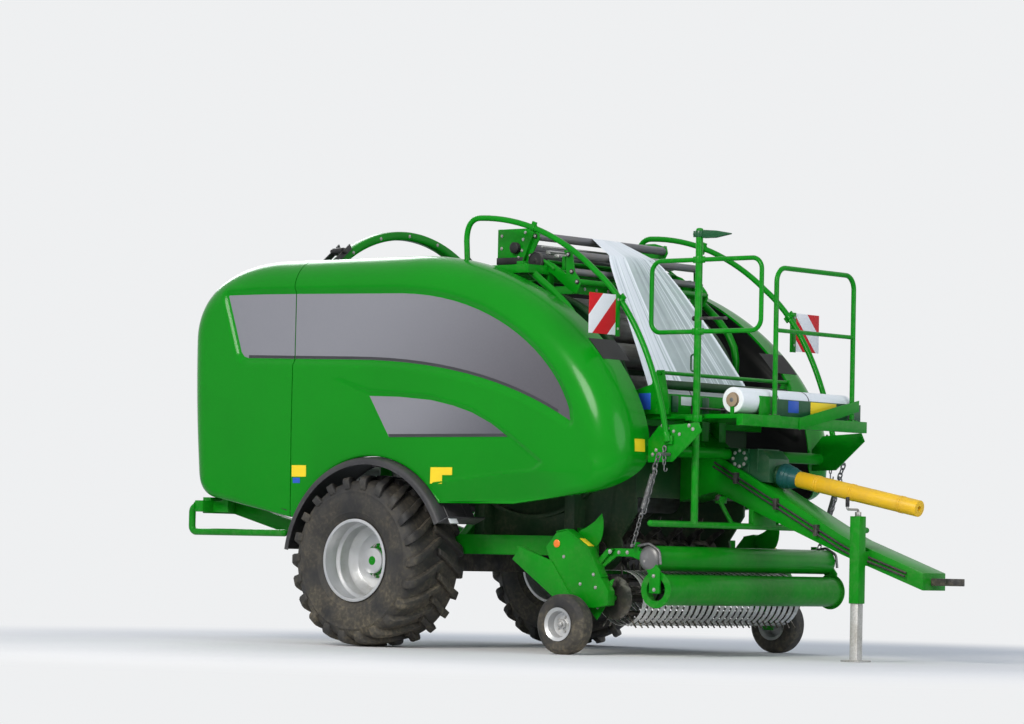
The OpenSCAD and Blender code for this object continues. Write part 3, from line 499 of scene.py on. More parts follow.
def weathered(name, colour, second=None, worn=None, roughness=0.35, metallic=0.0, coat=0.0, dust=0.3,
              height=1.0, wear=0.2, grain=0.0, scales=(300.0, 60.0), drift=3.0,
              dust_colour=(0.30, 0.25, 0.16), gloss=0.35):
    """A finish with its own drift, dust, wear and grain."""
    m, w, shader = principled(name, roughness, metallic, coat, gloss)
    g = w.add("ShaderNodeGroup", node_tree=GROUPS["Weathering"])
    second = second or tuple(c * 0.82 for c in colour)
    worn = worn or tuple(min(1.0, c * 1.6 + 0.04) for c in colour)
    values = {"Colour": (*colour, 1), "Second Colour": (*second, 1), "Worn Colour": (*worn, 1),
              "Dust": dust, "Dust Height": height, "Wear": wear, "Drift Scale": drift,
              "Roughness": roughness, "Dust Colour": (*dust_colour, 1)}
    for key, value in values.items():
        g.inputs[key].default_value = value
    w.link(g.outputs["Colour"], shader.inputs["Base Color"])
    w.link(g.outputs["Roughness"], shader.inputs["Roughness"])
    tall = g.outputs["Height"]
    if grain:
        f = w.add("ShaderNodeGroup", node_tree=GROUPS["Grain"])
        f.inputs["Scale"].default_value = scales[0]
        f.inputs["Second Scale"].default_value = scales[1]
        tall = w.plus(tall, w.times(f.outputs["Height"], grain))
    bump = w.add("ShaderNodeBump", {"Height": tall, "Strength": 0.35, "Distance": 0.002})
    w.link(bump.outputs["Normal"], shader.inputs["Normal"])
    return m


def streaky(name, colour, second, roughness, metallic, stretch=0.05, scale=40.0, amount=0.5):
    m, w, shader = principled(name, roughness, metallic)
    g = w.add("ShaderNodeGroup", node_tree=GROUPS["Streaks"])
    g.inputs["Scale"].default_value = scale
    g.inputs["Stretch"].default_value = stretch
    mask = g.outputs["Mask"]
    soiled = w.times(w.ramp(w.noise(7.0, 5.0), 0.4, 0.75), 0.35)
    tone = w.blend(w.times(mask, amount), (*colour, 1), (*second, 1))
    tone = w.blend(soiled, tone, (0.20, 0.17, 0.11, 1))
    w.link(tone, shader.inputs["Base Color"])
    w.link(w.plus(w.times(mask, 0.12), w.plus(roughness, w.times(soiled, 0.5))),
           shader.inputs["Roughness"])
    bump = w.add("ShaderNodeBump", {"Height": g.outputs["Height"], "Strength": 0.15, "Distance": 0.001})
    w.link(bump.outputs["Normal"], shader.inputs["Normal"])
    return m


def grey_with_painted_shade(name, light, dark, low_x, high_x):
    """The grey inlay, with painted shade: it darkens towards its front tip and its lower edge."""
    m, w, shader = principled(name, 0.42, 0.15, 0.25)
    place = w.place()
    x, _, z = w.add("ShaderNodeSeparateXYZ", {0: place}).outputs[:3]
    way = w.maths("SUBTRACT", x, w.times(z, 1.1))
    # painted shade: the grey goes darker towards the front and the bottom
    tone = w.blend(w.ramp(way, low_x, high_x), (*light, 1), (*dark, 1))
    fine = w.add("ShaderNodeGroup", node_tree=GROUPS["Grain"])
    fine.inputs["Scale"].default_value = 900.0
    tone = w.blend(w.times(fine.outputs["Height"], 0.10), tone, (0.5, 0.5, 0.53, 1))
    w.link(tone, shader.inputs["Base Color"])
    w.link(w.plus(0.36, w.times(w.noise(12.0), 0.10)), shader.inputs["Roughness"])
    return m


STRIPE, STRIPE_START = 0.1181, 0.109


def board_finish(name):
    """Reflective sheet with red and white stripes."""
    m, w, shader = principled(name, 0.38, gloss=0.15)
    g = w.add("ShaderNodeGroup", node_tree=GROUPS["Slant Stripes"])
    g.inputs["Width"].default_value = STRIPE
    g.inputs["Lean"].default_value = 1.0
    g.inputs["Start"].default_value = STRIPE_START
    cells = w.add("ShaderNodeTexVoronoi", {"Vector": w.place(), "Scale": 260.0}).outputs["Distance"]
    cells = w.ramp(cells, 0.2, 0.6)
    white = w.blend(w.times(cells, 0.25), (0.80, 0.80, 0.80, 1), (0.55, 0.56, 0.58, 1))
    red = w.blend(w.times(cells, 0.3), (0.62, 0.015, 0.02, 1), (0.40, 0.01, 0.015, 1))
    w.link(w.blend(g.outputs["Mask"], white, red), shader.inputs["Base Color"])
    w.link(w.plus(0.3, w.times(cells, 0.15)), shader.inputs["Roughness"])
    return m


def film_finish(name, colour, alpha, roughness=0.28):
    """Stretch film: milky and glossy; drawn film is clearer between its pleats."""
    m, w, shader = principled(name, roughness, 0.0, 0.2)
    streaks = w.add("ShaderNodeGroup", node_tree=GROUPS["Streaks"])
    streaks.inputs["Scale"].default_value = 60.0
    streaks.inputs["Stretch"].default_value = 1.0
    fine = streaks.outputs["Mask"]
    if alpha < 1:
        pleat = w.add("ShaderNodeAttribute", attribute_name="pleat").outputs["Fac"]
        tone = w.blend(pleat, (0.56, 0.645, 0.615, 1), (*colour, 1))
        clear = w.plus(alpha, w.times(pleat, 0.5))
        w.link(w.plus(clear, w.times(w.noise(25.0), 0.08), True), shader.inputs["Alpha"])
    else:
        tone = w.blend(w.times(fine, 0.12), (*colour, 1), (0.62, 0.65, 0.65, 1))
    w.link(tone, shader.inputs["Base Color"])
    w.link(w.plus(roughness, w.times(fine, 0.12)), shader.inputs["Roughness"])
    return m


GROUPS = {}


def make_materials(green):
    for make in (weathering_group, grain_group, streak_group, slant_group):
        tree = make()
        GROUPS[tree.name] = tree
    g = tuple(green)
    p = PAINT
    p["shell"] = weathered("shell_green", g, tuple(c * 0.93 for c in g), roughness=0.22, coat=0.10,
                           gloss=0.12, dust=0.03, height=1.5, wear=0.0, grain=0.03, scales=(160.0, 40.0),
                           drift=1.3)
    p["green"] = weathered("machine_green", g, tuple(c * 0.85 for c in g), (0.10, 0.24, 0.08),
                           roughness=0.30, coat=0.06, gloss=0.12, dust=0.08, height=1.4, wear=0.2,
                           grain=0.10, scales=(120.0, 30.0))
    p["dark_green"] = weathered("gearbox_green", (0.004, 0.075, 0.022), roughness=0.40, coat=0.1, dust=0.2,
                                height=1.7, grain=0.5, scales=(160.0, 45.0))
    # painted shade: a near-black green for parts that lie in deep shade, the chamber, the crop drum's spiders
    # and the film guide roller
    p["shade_green"] = weathered("shade_green", (0.002, 0.036, 0.006), roughness=0.5, dust=0.25,
                                  height=1.7, grain=0.3)
    # painted shade: black for faces that lie in deep shade, the shells' inner faces, the sheets on the door
    # noses under the boards and the discs inside the crop drum's ends
    p["shade_black"] = weathered("black_painted_shade", (0.006, 0.007, 0.007), (0.010, 0.011, 0.011), roughness=0.6,
                           dust=0.08, height=1.7, wear=0.0, grain=0.3)
    p["teal"] = weathered("guard_teal", (0.010, 0.10, 0.095), roughness=0.38, dust=0.15, wear=0.1,
                          grain=0.1)
    p["moulding"] = weathered("fender_moulding", (0.030, 0.030, 0.033), (0.042, 0.042, 0.045),
                              (0.12, 0.12, 0.12), roughness=0.50, dust=0.15, height=1.6, wear=0.3,
                              grain=0.5, scales=(420.0, 90.0))
    p["black"] = weathered("black_paint", (0.012, 0.012, 0.013), (0.02, 0.02, 0.021), (0.15, 0.14, 0.13),
                           roughness=0.42, dust=0.45, height=1.6, wear=0.4, grain=0.3)
    p["tyre"] = weathered("tyre_rubber", (0.020, 0.020, 0.021), (0.032, 0.031, 0.030), (0.06, 0.058, 0.055),
                          roughness=0.62, dust=0.38, height=1.5, wear=0.5, grain=0.6, scales=(500.0, 120.0),
                          drift=8.0)
    p["rim"] = weathered("rim_silver", (0.60, 0.61, 0.62), (0.50, 0.51, 0.52), (0.35, 0.34, 0.33),
                         roughness=0.30, metallic=0.55, dust=0.3, height=1.3, wear=0.3, grain=0.1)
    p["steel"] = streaky("roller_steel", (0.42, 0.42, 0.42), (0.24, 0.235, 0.23), 0.34, 0.9)
    p["roller"] = streaky("roller_grey", (0.17, 0.17, 0.18), (0.09, 0.09, 0.095), 0.36, 0.35)
    p["zinc"] = streaky("zinc_plate", (0.50, 0.50, 0.49), (0.33, 0.32, 0.30), 0.38, 0.85, 1.0, 90.0)
    p["spring"] = weathered("spring_grey", (0.20, 0.20, 0.205), (0.13, 0.13, 0.13), (0.4, 0.4, 0.4),
                            roughness=0.4, metallic=0.6, dust=0.3)
    p["tine"] = weathered("tine_steel", (0.05, 0.05, 0.052), (0.10, 0.095, 0.09), (0.35, 0.33, 0.30),
                          roughness=0.36, metallic=0.8, dust=0.4, wear=0.8)
    # pale steel, partly its real colour and partly painted light: brightened so the stripper bands look
    # sunlit
    p["band"] = streaky("band_steel_painted_light", (0.78, 0.78, 0.77), (0.56, 0.56, 0.55), 0.32, 0.50, 1.0, 55.0)
    # the inlay and the panel darken towards the front and the bottom: painted shade
    p["inlay"] = grey_with_painted_shade("grey_inlay", (0.22, 0.22, 0.245), (0.055, 0.05, 0.062), -4.2, -1.2)
    p["panel"] = grey_with_painted_shade("grey_panel", (0.22, 0.22, 0.245), (0.07, 0.07, 0.085), -2.9, -1.5)
    p["line"] = weathered("dark_line", (0.045, 0.045, 0.05), roughness=0.45, dust=0.1, wear=0.0)
    p["board"] = board_finish("board_red_white")
    p["yellow"] = weathered("guard_yellow", (0.83, 0.50, 0.01), (0.75, 0.43, 0.01), (0.9, 0.62, 0.2),
                            roughness=0.38, dust=0.35, height=1.8, grain=0.1)
    p["sticker_yellow"] = weathered("sticker_yellow", (0.90, 0.66, 0.02), (0.86, 0.60, 0.02),
                                    roughness=0.35, dust=0.2, wear=0.0)
    p["sticker_blue"] = weathered("sticker_blue", (0.02, 0.10, 0.50), roughness=0.35, dust=0.2, wear=0.0)
    p["sticker_white"] = weathered("sticker_white", (0.74, 0.75, 0.75), roughness=0.40, dust=0.3, wear=0.0)
    p["orange"] = weathered("reflector_orange", (0.90, 0.20, 0.01), (0.8, 0.15, 0.01), roughness=0.18,
                            coat=0.6, dust=0.1, wear=0.0, grain=0.4, scales=(900.0, 400.0))
    p["red"] = weathered("lens_red", (0.50, 0.01, 0.012), (0.42, 0.01, 0.012), roughness=0.15, coat=0.7,
                         dust=0.15, wear=0.0, grain=0.4, scales=(700.0, 300.0))
    p["film"] = film_finish("film_roll", (0.83, 0.85, 0.85), 1.0)
    p["web"] = film_finish("film_web", (0.86, 0.89, 0.89), 0.68, 0.30)
    p["board_core"] = weathered("cardboard_core", (0.36, 0.27, 0.18), (0.30, 0.22, 0.14), roughness=0.85,
                                dust=0.0, wear=0.0, grain=0.4)
    p["rubber"] = weathered("hose_rubber", (0.015, 0.015, 0.016), roughness=0.5, dust=0.3, wear=0.1,
                            grain=0.3)


# The side shells

SIDE = 1.360
SHELL = 0.025
SEAM = -0.684
RECESS = 0.026
STEP = 0.013
ARCH = (0.090, 0.570, 0.806)


def bezier(p, n):
    """Points of a cubic through rows of numbers, without the last one."""
    p = np.array(p, float)
    t = (np.arange(n) / n)[:, None]
    s = 1 - t
    return s ** 3 * p[0] + 3 * s * s * t * p[1] + 3 * s * t * t * p[2] + t ** 3 * p[3]


BAND = np.concatenate([
    [[-1.370, 2.573], [-1.362, 2.578]], [[-1.0, 2.577], [-0.684, 2.572]],
    bezier([[0.350, 2.550], [1.250, 2.520], [1.830, 2.050], [1.940, 1.640]], 20),
    [[1.930, 1.625]],
    bezier([[1.900, 1.640], [1.500, 1.850], [0.900, 2.060], [-0.120, 2.080]], 16),
    [[-0.120, 2.080], [-0.684, 2.094], [-1.150, 2.106], [-1.195, 2.118], [-1.225, 2.150]],
])
LOWER = np.array([[-0.9, 2.02], [-0.55, 1.985], [-0.2, 1.93], [0.076, 1.845], [0.66, 1.800], [1.04, 1.708],
                  [1.409, 1.520], [1.693, 1.335], [1.602, 1.277], [1.309, 1.245], [0.767, 1.185],
                  [0.4, 1.16], [-0.9, 1.13]])
CREASE = np.array([[0.0, 1.15], [0.767, 1.185], [1.309, 1.245], [1.602, 1.277], [2.0, 1.27], [2.4, 1.25]])
PANEL = np.array([[0.076, 1.812], [0.360, 1.803], [0.660, 1.777], [0.860, 1.738], [1.040, 1.688],
                  [1.230, 1.606], [1.380, 1.513], [0.268, 1.513]])


def smooth(t):
    t = np.clip(t, 0, 1)
    return t * t * (3 - 2 * t)


def distance(points, outline):
    """Distance of points from a closed outline, below nought inside it."""
    a, b = outline, np.roll(outline, -1, axis=0)
    ab = b - a
    rel = points[:, None, :] - a[None]
    t = np.clip((rel * ab).sum(-1) / (ab * ab).sum(-1), 0, 1)
    d = np.sqrt(((rel - t[..., None] * ab) ** 2).sum(-1).min(1))
    above = (a[None, :, 1] > points[:, None, 1]) != (b[None, :, 1] > points[:, None, 1])
    dz = np.where(np.abs(ab[:, 1]) < 1e-12, 1e-12, ab[:, 1])
    rise = points[:, None, 1] - a[None, :, 1]
    crossing = points[:, None, 0] < ab[None, :, 0] * rise / dz[None] + a[None, :, 0]
    inside = (above & crossing).sum(1) % 2 == 1
    return np.where(inside, -d, d)


def side_depth(points):
    """How far the side lies inside its outermost plane, at points of x and z."""
    points = np.array(points, float).reshape(-1, 2)
    x, z = points[:, 0], points[:, 1]
    d = RECESS * smooth(1 - distance(points, BAND) / 0.055)
    low = distance(points, LOWER)
    fade = smooth((x + 0.45) / 0.9)
    lower = STEP * fade * smooth(0.5 - low / 0.030)
    crease = np.interp(x, CREASE[:, 0], CREASE[:, 1])
    under = np.clip(crease - z, 0, 1)
    tilt = 0.30 * np.sqrt(under ** 2 + 0.0001) - 0.003
    under_fade = smooth((x - 0.55) / 0.45) * smooth((2.25 - x) / 0.7)
    shelf = STEP * fade * smooth((1.75 - x) / 0.4) * (low > 0)
    below = np.where(z < crease, shelf + np.maximum(tilt, 0) * under_fade, 0)
    return d + np.maximum(lower, below) + 0.012 * smooth((1.7 - z) / 0.9)


def resampled(points, count):
    """A path of rows, spaced evenly along its first two columns."""
    points = np.array(points, float)
    way = np.concatenate([[0], np.cumsum(np.hypot(*(points[1:, :2] - points[:-1, :2]).T))])
    to = np.linspace(0, way[-1], count)
    return np.stack([np.interp(to, way, points[:, k]) for k in range(points.shape[1])], 1)


def door_edges():
    """Outline rows of x, z, corner radius and wrap: bottom, nose and top of a side door."""
    rear = SEAM + 0.004
    arch_from = pi - asin((0.930 - ARCH[1]) / ARCH[2])
    arch_to = asin((1.043 - ARCH[1]) / ARCH[2])
    wheel = [[ARCH[0] + ARCH[2] * cos(a), ARCH[1] + ARCH[2] * sin(a), 0.022, 1.300]
             for a in np.linspace(arch_from, arch_to, 60)]
    bottom = [[rear, 0.928, 0.022, 1.300]] + wheel + [[1.400, 1.043, 0.060, 1.250],
                                                      [2.080, 1.130, 0.060, 1.250]]
    nose = bezier([[2.335, 1.430, 0.25, 0.950], [2.335, 1.260, 0.25, 0.950], [2.250, 1.160, 0.12, 1.250],
                   [2.080, 1.130, 0.06, 1.250]], 40)
    over = bezier([[0.340, 2.835, 0.25, 1.055], [1.450, 2.830, 0.25, 1.055], [2.335, 2.050, 0.25, 0.950],
                   [2.335, 1.430, 0.25, 0.950]], 100)
    cut = 80
    right = np.concatenate([[[2.080, 1.130, 0.060, 1.250]], nose[::-1], over[cut:][::-1]])
    top = np.concatenate([over[:cut + 1][::-1], [[rear, 2.835, 0.25, 1.055]]])
    return bottom, right, top


def rear_edges():
    """The same for a rear shell, whose closed side is its back."""
    front = SEAM - 0.004
    low = bezier([[-1.440, 1.060, 0.06, 1.250], [-1.580, 1.075, 0.06, 1.250], [-1.695, 1.120, 0.15, 0.930],
                  [-1.705, 1.290, 0.15, 0.930]], 30)
    back = bezier([[-1.705, 1.290, 0.15, 0.930], [-1.730, 1.600, 0.15, 0.930], [-1.750, 1.900, 0.15, 0.930],
                   [-1.750, 2.250, 0.15, 0.930]], 20)
    roof = bezier([[-1.750, 2.250, 0.15, 0.930], [-1.750, 2.620, 0.15, 0.930], [-1.450, 2.835, 0.25, 0.930],
                   [-0.950, 2.835, 0.25, 0.930]], 40)
    bottom = np.concatenate([[[front, 0.928, 0.022, 1.300]], low[:10]])
    left = np.concatenate([low[9:], back, roof[:22]])
    top = np.concatenate([roof[21:], [[-0.950, 2.835, 0.25, 0.930], [front, 2.835, 0.25, 0.930]]])
    return bottom, left, top


ROUND = 16


def shell_mesh(name, bottom, closed, top, columns, rows):
    """A side shell: a grid between its three outer edges and the seam, with a rounded rim that wraps inwards.
    The closed edge runs from bottom to top, and the seam lies opposite."""
    bottom, closed, top = (resampled(e, n) for e, n in ((bottom, columns), (closed, rows), (top, columns)))
    outline = np.concatenate([bottom, closed[1:], top[1:]])
    n = len(outline)
    step = np.zeros((n, 2))
    step[1:-1] = outline[2:, :2] - outline[:-2, :2]
    step[0], step[-1] = (1, 0), (-1, 0)
    if closed[:, 0].mean() < SEAM:
        step[0], step[-1] = (-1, 0), (1, 0)
    step /= np.linalg.norm(step, axis=1)[:, None]
    out = np.stack([step[:, 1], -step[:, 0]], 1)
    if closed[:, 0].mean() < SEAM:
        out = -out
    radius = outline[:, 2]
    inner = outline[:, :2] - out * radius[:, None]
    grid_rows = []
    for j in range(ROUND + 1):
        a = pi / 2 * j / ROUND
        q = outline[:, :2] - out * (radius * (1 - sin(a)))[:, None]
        depth = side_depth(q) * cos(a)
        y = SIDE - radius * (1 - cos(a)) - depth
        grid_rows.append(np.stack([q[:, 0], y, q[:, 1]], 1))
    wrap = outline[:, 3]
    last = grid_rows[-1]
    for share in (0.34, 0.67, 1.0):
        y = last[:, 1] + (wrap - last[:, 1]) * share
        grid_rows.append(np.stack([outline[:, 0], y, outline[:, 1]], 1))
    rim = np.array(grid_rows)
    b, r, t = inner[:columns], inner[columns - 1:columns - 1 + rows], inner[columns + rows - 2:][::-1]
    left = np.stack([np.linspace(b[0, k], t[0, k], rows) for k in (0, 1)], 1)
    u, v = np.linspace(0, 1, columns)[:, None, None], np.linspace(0, 1, rows)[None, :, None]
    flat = ((1 - v) * b[:, None] + v * t[:, None] + (1 - u) * left[None] + u * r[None]
            - (1 - u) * (1 - v) * b[0] - u * (1 - v) * b[-1] - (1 - u) * v * t[0] - u * v * t[-1])
    depth = side_depth(flat.reshape(-1, 2)).reshape(columns, rows)
    field = np.stack([flat[..., 0], SIDE - depth, flat[..., 1]], -1)
    verts = np.concatenate([field.reshape(-1, 3), rim.reshape(-1, 3)])
    faces = [(i * rows + j, (i + 1) * rows + j, (i + 1) * rows + j + 1, i * rows + j + 1)
             for i in range(columns - 1) for j in range(rows - 1)]
    base, m = columns * rows, len(rim)
    faces += [(base + j * n + i, base + j * n + i + 1, base + (j + 1) * n + i + 1, base + (j + 1) * n + i)
              for j in range(m - 1) for i in range(n - 1)]
    verts[:, 0] += AXLE
    mesh = bpy.data.meshes.new(name)
    mesh.from_pydata(verts.tolist(), [], faces)
    o = bpy.data.objects.new(name, mesh)
    bpy.context.collection.objects.link(o)
    outwards(o, 0.0004)
    probe = max(o.data.polygons, key=lambda f: f.center.y)
    if probe.normal.y < 0:
        o.data.flip_normals()
    # the inner faces get black paint that stands in for the shade inside the shell
    o.data.materials.append(PAINT["shell"])
    o.data.materials.append(PAINT["shade_black"])
    modify(o, "SOLIDIFY", thickness=SHELL, offset=-1.0, use_even_offset=True, thickness_clamp=1.0,
           material_offset=1)
    return o


def draped(outline, proud, x_step=0.03, thick=0.0012):
    """A thin sheet on the side, whose outline is given in x and z; it follows the surface."""
    o = loop([at(p[0], SIDE, p[1]) for p in outline], "NGON")
    choose(o)
    bpy.ops.object.mode_set(mode="EDIT")
    bpy.ops.mesh.select_all(action="SELECT")
    low = min(p[0] for p in outline)
    high = max(p[0] for p in outline)
    for x in np.arange(low + x_step, high - 0.003, x_step):
        bpy.ops.mesh.select_all(action="SELECT")
        bpy.ops.mesh.bisect(plane_co=(x + AXLE, 0, 0), plane_no=(1, 0, 0))
    bpy.ops.object.mode_set(mode="OBJECT")
    for v in o.data.vertices:
        v.co.y = SIDE - side_depth([[v.co.x - AXLE, v.co.z]])[0] + proud
    if sum(f.normal.y for f in o.data.polygons) < 0:
        o.data.flip_normals()
    return modify(o, "SOLIDIFY", thickness=thick + 0.004, offset=-1.0)


def clipped(outline, x, keep_front):
    """The part of an outline in front of or behind a plane of x."""
    out = []
    pts = [tuple(p) for p in outline]
    for a, b in zip(pts, pts[1:] + pts[:1]):
        a_in, b_in = (a[0] > x) == keep_front, (b[0] > x) == keep_front
        if a_in:
            out.append(a)
        if a_in != b_in:
            t = (x - a[0]) / (b[0] - a[0])
            out.append((x, a[1] + (b[1] - a[1]) * t))
    return out


def nose_patch(nose, low, high, y0, y1):
    """A thin sheet on the flat front of a door's nose, between two heights."""
    rows = sorted({(r[1], r[0]) for r in nose if low < r[1] < high and r[0] > 1.5})
    return plate([(x + 0.0015, z) for z, x in rows] + [(x - 0.003, z) for z, x in rows[::-1]], y0, y1)


def make_shells(fine):
    """Rear shells and side doors with their grey inlays, and the blank stickers."""
    door = shell_mesh("door", *door_edges(), 200 if fine else 100, 100 if fine else 50)
    back = shell_mesh("rear", *rear_edges(), 70 if fine else 35, 110 if fine else 55)
    lugs = []
    for x in (-0.450, 0.100):
        lugs.append(brick((x - 0.040, 1.058, 2.785), (x + 0.040, 1.110, 2.812), 0.003))
        lugs.append(sleeve(0.0083, 0.016, -0.040, 0.040, at(x, 1.070, 2.785), "X", 24))
    for lug in lugs:
        lug.data.materials.append(PAINT["shell"])
    door = joined(lugs + [door], "door")
    door_inlay = draped(clipped(BAND, SEAM + 0.005, True), 0.002)
    rear_inlay = draped(clipped(BAND, SEAM - 0.005, False), 0.002)
    low_edge = BAND[26:44]
    line = [[p[0], p[1] + 0.022] for p in low_edge[::-1]] + [[p[0], p[1] + 0.001] for p in low_edge]
    door_line = draped(clipped(line, SEAM + 0.005, True), 0.0032)
    rear_line = draped(clipped(line, SEAM - 0.005, False), 0.0032)
    panel = draped(PANEL, 0.0015)
    foot = draped([[0.262, 1.535], [1.345, 1.535], [1.380, 1.513], [0.268, 1.513]], 0.0028)
    tags = [draped([[-0.672, 1.309], [-0.530, 1.309], [-0.530, 1.225], [-0.672, 1.225]], 0.0015),
            draped([[0.666, 1.297], [0.868, 1.297], [0.868, 1.242], [0.774, 1.242], [0.774, 1.180],
                    [0.666, 1.180]], 0.0015)]
    blue = draped([[-0.660, 1.218], [-0.590, 1.218], [-0.590, 1.178], [-0.660, 1.178]], 0.0015)
    nose = np.concatenate(door_edges()[1:])
    patch = nose_patch(nose, 1.410, 1.506, 1.006, 1.118)
    # a black sheet on the nose under the warning boards: painted shade
    shadow_sheet = nose_patch(nose, 2.060, 2.225, 0.860, 1.155)
    sets = [
        ("door_shell", door, None, "side_door", "door"),
        ("rear_shell", back, None, None, "rear_shell"),
        ("nose_tag", patch, "sticker_yellow", "side_door", None),
        ("nose_shadow_sheet", shadow_sheet, "shade_black", "side_door", None),
        ("door_inlay", door_inlay, "inlay", "side_door", None),
        ("rear_inlay", rear_inlay, "inlay", None, None),
        ("door_line", door_line, "line", "side_door", None),
        ("rear_line", rear_line, "line", None, None),
        ("door_panel", panel, "panel", "side_door", None),
        ("door_panel_foot", foot, "line", "side_door", None),
        ("door_tags", joined(tags), "sticker_yellow", "side_door", None),
        ("door_tag_blue", blue, "sticker_blue", "side_door", None),
    ]
    for name, o, paint, body, node in sets:
        mirrored = other_side(o)
        for piece, hand in ((o, "left"), (mirrored, "right")):
            finish(piece, f"{name}_{hand}", paint, 40, (f"{node}_{hand}",) if node else (),
                   f"{body}_{hand}" if body else "frame")


# Wheels and fenders

WHEEL_Y, WHEEL_Z = 1.140, 0.6215


def closed_mesh(name, verts, faces):
    """A closed mesh from points and faces, with its normals outwards."""
    mesh = bpy.data.meshes.new(name)
    mesh.from_pydata([tuple(v) for v in verts], [], faces)
    o = bpy.data.objects.new(name, mesh)
    bpy.context.collection.objects.link(o)
    return outwards(o)


# A lug's sections from the tread's middle over the shoulder: y and radius of its top, y and radius of
# its foot, sweep along the tread, half thickness
LUG = [
    (-0.018, 0.6212, -0.018, 0.575, -0.074, 0.021), (0.030, 0.6215, 0.030, 0.575, -0.050, 0.022),
    (0.070, 0.6210, 0.070, 0.575, -0.028, 0.023), (0.120, 0.6195, 0.120, 0.575, 0.006, 0.025),
    (0.160, 0.6170, 0.160, 0.570, 0.032, 0.026), (0.210, 0.6120, 0.205, 0.565, 0.056, 0.028),
    (0.250, 0.6040, 0.235, 0.560, 0.074, 0.030), (0.274, 0.5920, 0.250, 0.545, 0.086, 0.031),
    (0.286, 0.5700, 0.262, 0.535, 0.094, 0.031), (0.288, 0.5450, 0.270, 0.525, 0.098, 0.029),
    (0.283, 0.5200, 0.270, 0.510, 0.100, 0.026),
]


def tyre_lug(centre, side, shift):
    """One lug of a road tyre, from the tread's middle over the shoulder."""
    verts, faces = [], []
    for top_y, top_r, foot_y, foot_r, sweep, half in LUG:
        corners = ((foot_y, foot_r, -half - 0.008), (top_y, top_r, -half), (top_y, top_r, half),
                   (foot_y, foot_r, half + 0.008))
        for y, r, s in corners:
            a = (sweep + s) / 0.6 + shift
            verts.append(centre + Vector((r * sin(a), side * y, r * cos(a))))
    n = len(LUG)
    for i in range(n - 1):
        for k in range(4):
            j = (k + 1) % 4
            faces.append((4 * i + k, 4 * i + j, 4 * i + 4 + j, 4 * i + 4 + k))
    faces += [(0, 1, 2, 3), (4 * n - 4, 4 * n - 3, 4 * n - 2, 4 * n - 1)]
    return rounded(closed_mesh("lug", verts, faces), 0.004, 2, 40)


TYRE = [(0.290, 0.240), (0.303, 0.243), (0.309, 0.250), (0.322, 0.258), (0.345, 0.268), (0.349, 0.272),
        (0.356, 0.272), (0.362, 0.2735), (0.400, 0.2815), (0.440, 0.2845), (0.470, 0.2835), (0.490, 0.2805),
        (0.494, 0.2825), (0.500, 0.2820), (0.504, 0.2785), (0.530, 0.2690), (0.552, 0.2560),
        (0.566, 0.2350), (0.577, 0.2000), (0.583, 0.1400), (0.586, 0.0700), (0.587, 0.0)]


def make_wheels(lugs):
    """Tyres with chevron lugs, rims with nuts and green hubs."""
    for hand, side in (("left", 1), ("right", -1)):
        centre = at(0, side * WHEEL_Y, WHEEL_Z)
        outer = [(r, side * y) for r, y in TYRE]
        inner = [(r - 0.018 if r > 0.4 else r, side * (y - 0.018)) for r, y in TYRE[8:]][::-1]
        inner += [(0.330, side * 0.236), (0.290, side * 0.222)]
        half = turned_part(outer + inner, centre, "Y", 96)
        mirrored = turned_part([(r, -d) for r, d in outer + inner], centre, "Y", 96)
        pieces = []
        for s in (0, 1):
            first = tyre_lug(centre, side if s == 0 else -side, s * pi / lugs)
            pieces += [first] + [turned(first, 2 * pi * i / lugs, "Y", centre) for i in range(1, lugs)]
        tyre = joined(pieces + [half, mirrored])
        finish(tyre, f"road_tyre_{hand}", "tyre", 38, (f"tyre_{hand}",), body=f"wheel_{hand}")
        dressed(f"rim_{hand}", "rim", 0.0025, 30, flat=0.2)
        hub = turned_part([(0.001, side * 0.062), (0.030, side * 0.062), (0.040, side * 0.054),
                           (0.086, side * 0.050), (0.094, side * 0.040), (0.094, side * -0.008),
                           (0.1265, side * -0.012), (0.1265, side * -0.0195), (0.001, side * -0.0195)],
                          centre, "Y", 40)
        hub = rounded(hub, 0.003)
        ring = [centre + Vector((0.110 * cos(a), side * -0.0125, 0.110 * sin(a)))
                for a in np.linspace(0, 2 * pi, 11)[:10]]
        cap = [centre + Vector((0.064 * cos(a), side * 0.050, 0.064 * sin(a)))
               for a in np.linspace(0.3, 2 * pi + 0.3, 7)[:6]]
        finish(hub, f"hub_{hand}", "green", body=f"wheel_{hand}")
        nuts = joined([hexes(ring, (0, side, 0), 0.0125, 0.020), hexes(cap, (0, side, 0), 0.007, 0.006)])
        finish(nuts, f"wheel_nuts_{hand}", "zinc", body=f"wheel_{hand}")
        valve = tube(bends([centre + Vector((0.215, side * -0.012, 0.03)),
                            centre + Vector((0.222, side * 0.030, 0.031)),
                            centre + Vector((0.236, side * 0.060, 0.033))], 0.015), 0.004, 8)
        finish(valve, f"valve_{hand}", "black", body=f"wheel_{hand}")


def swept_arc(profile, centre, start, sweep, steps):
    """A closed profile of radius and y, swept round an axis along Y from one angle; both ends are capped."""
    places = [Vector((centre.x + r * cos(start), y, centre.z + r * sin(start))) for r, y in profile]
    o = loop(places, "NGON")
    choose(o)
    bpy.ops.object.mode_set(mode="EDIT")
    bpy.ops.mesh.select_all(action="SELECT")
    bpy.ops.mesh.spin(steps=steps, angle=sweep, center=centre, axis=(0, 1, 0))
    bpy.ops.object.mode_set(mode="OBJECT")
    return outwards(o, 0.0001)


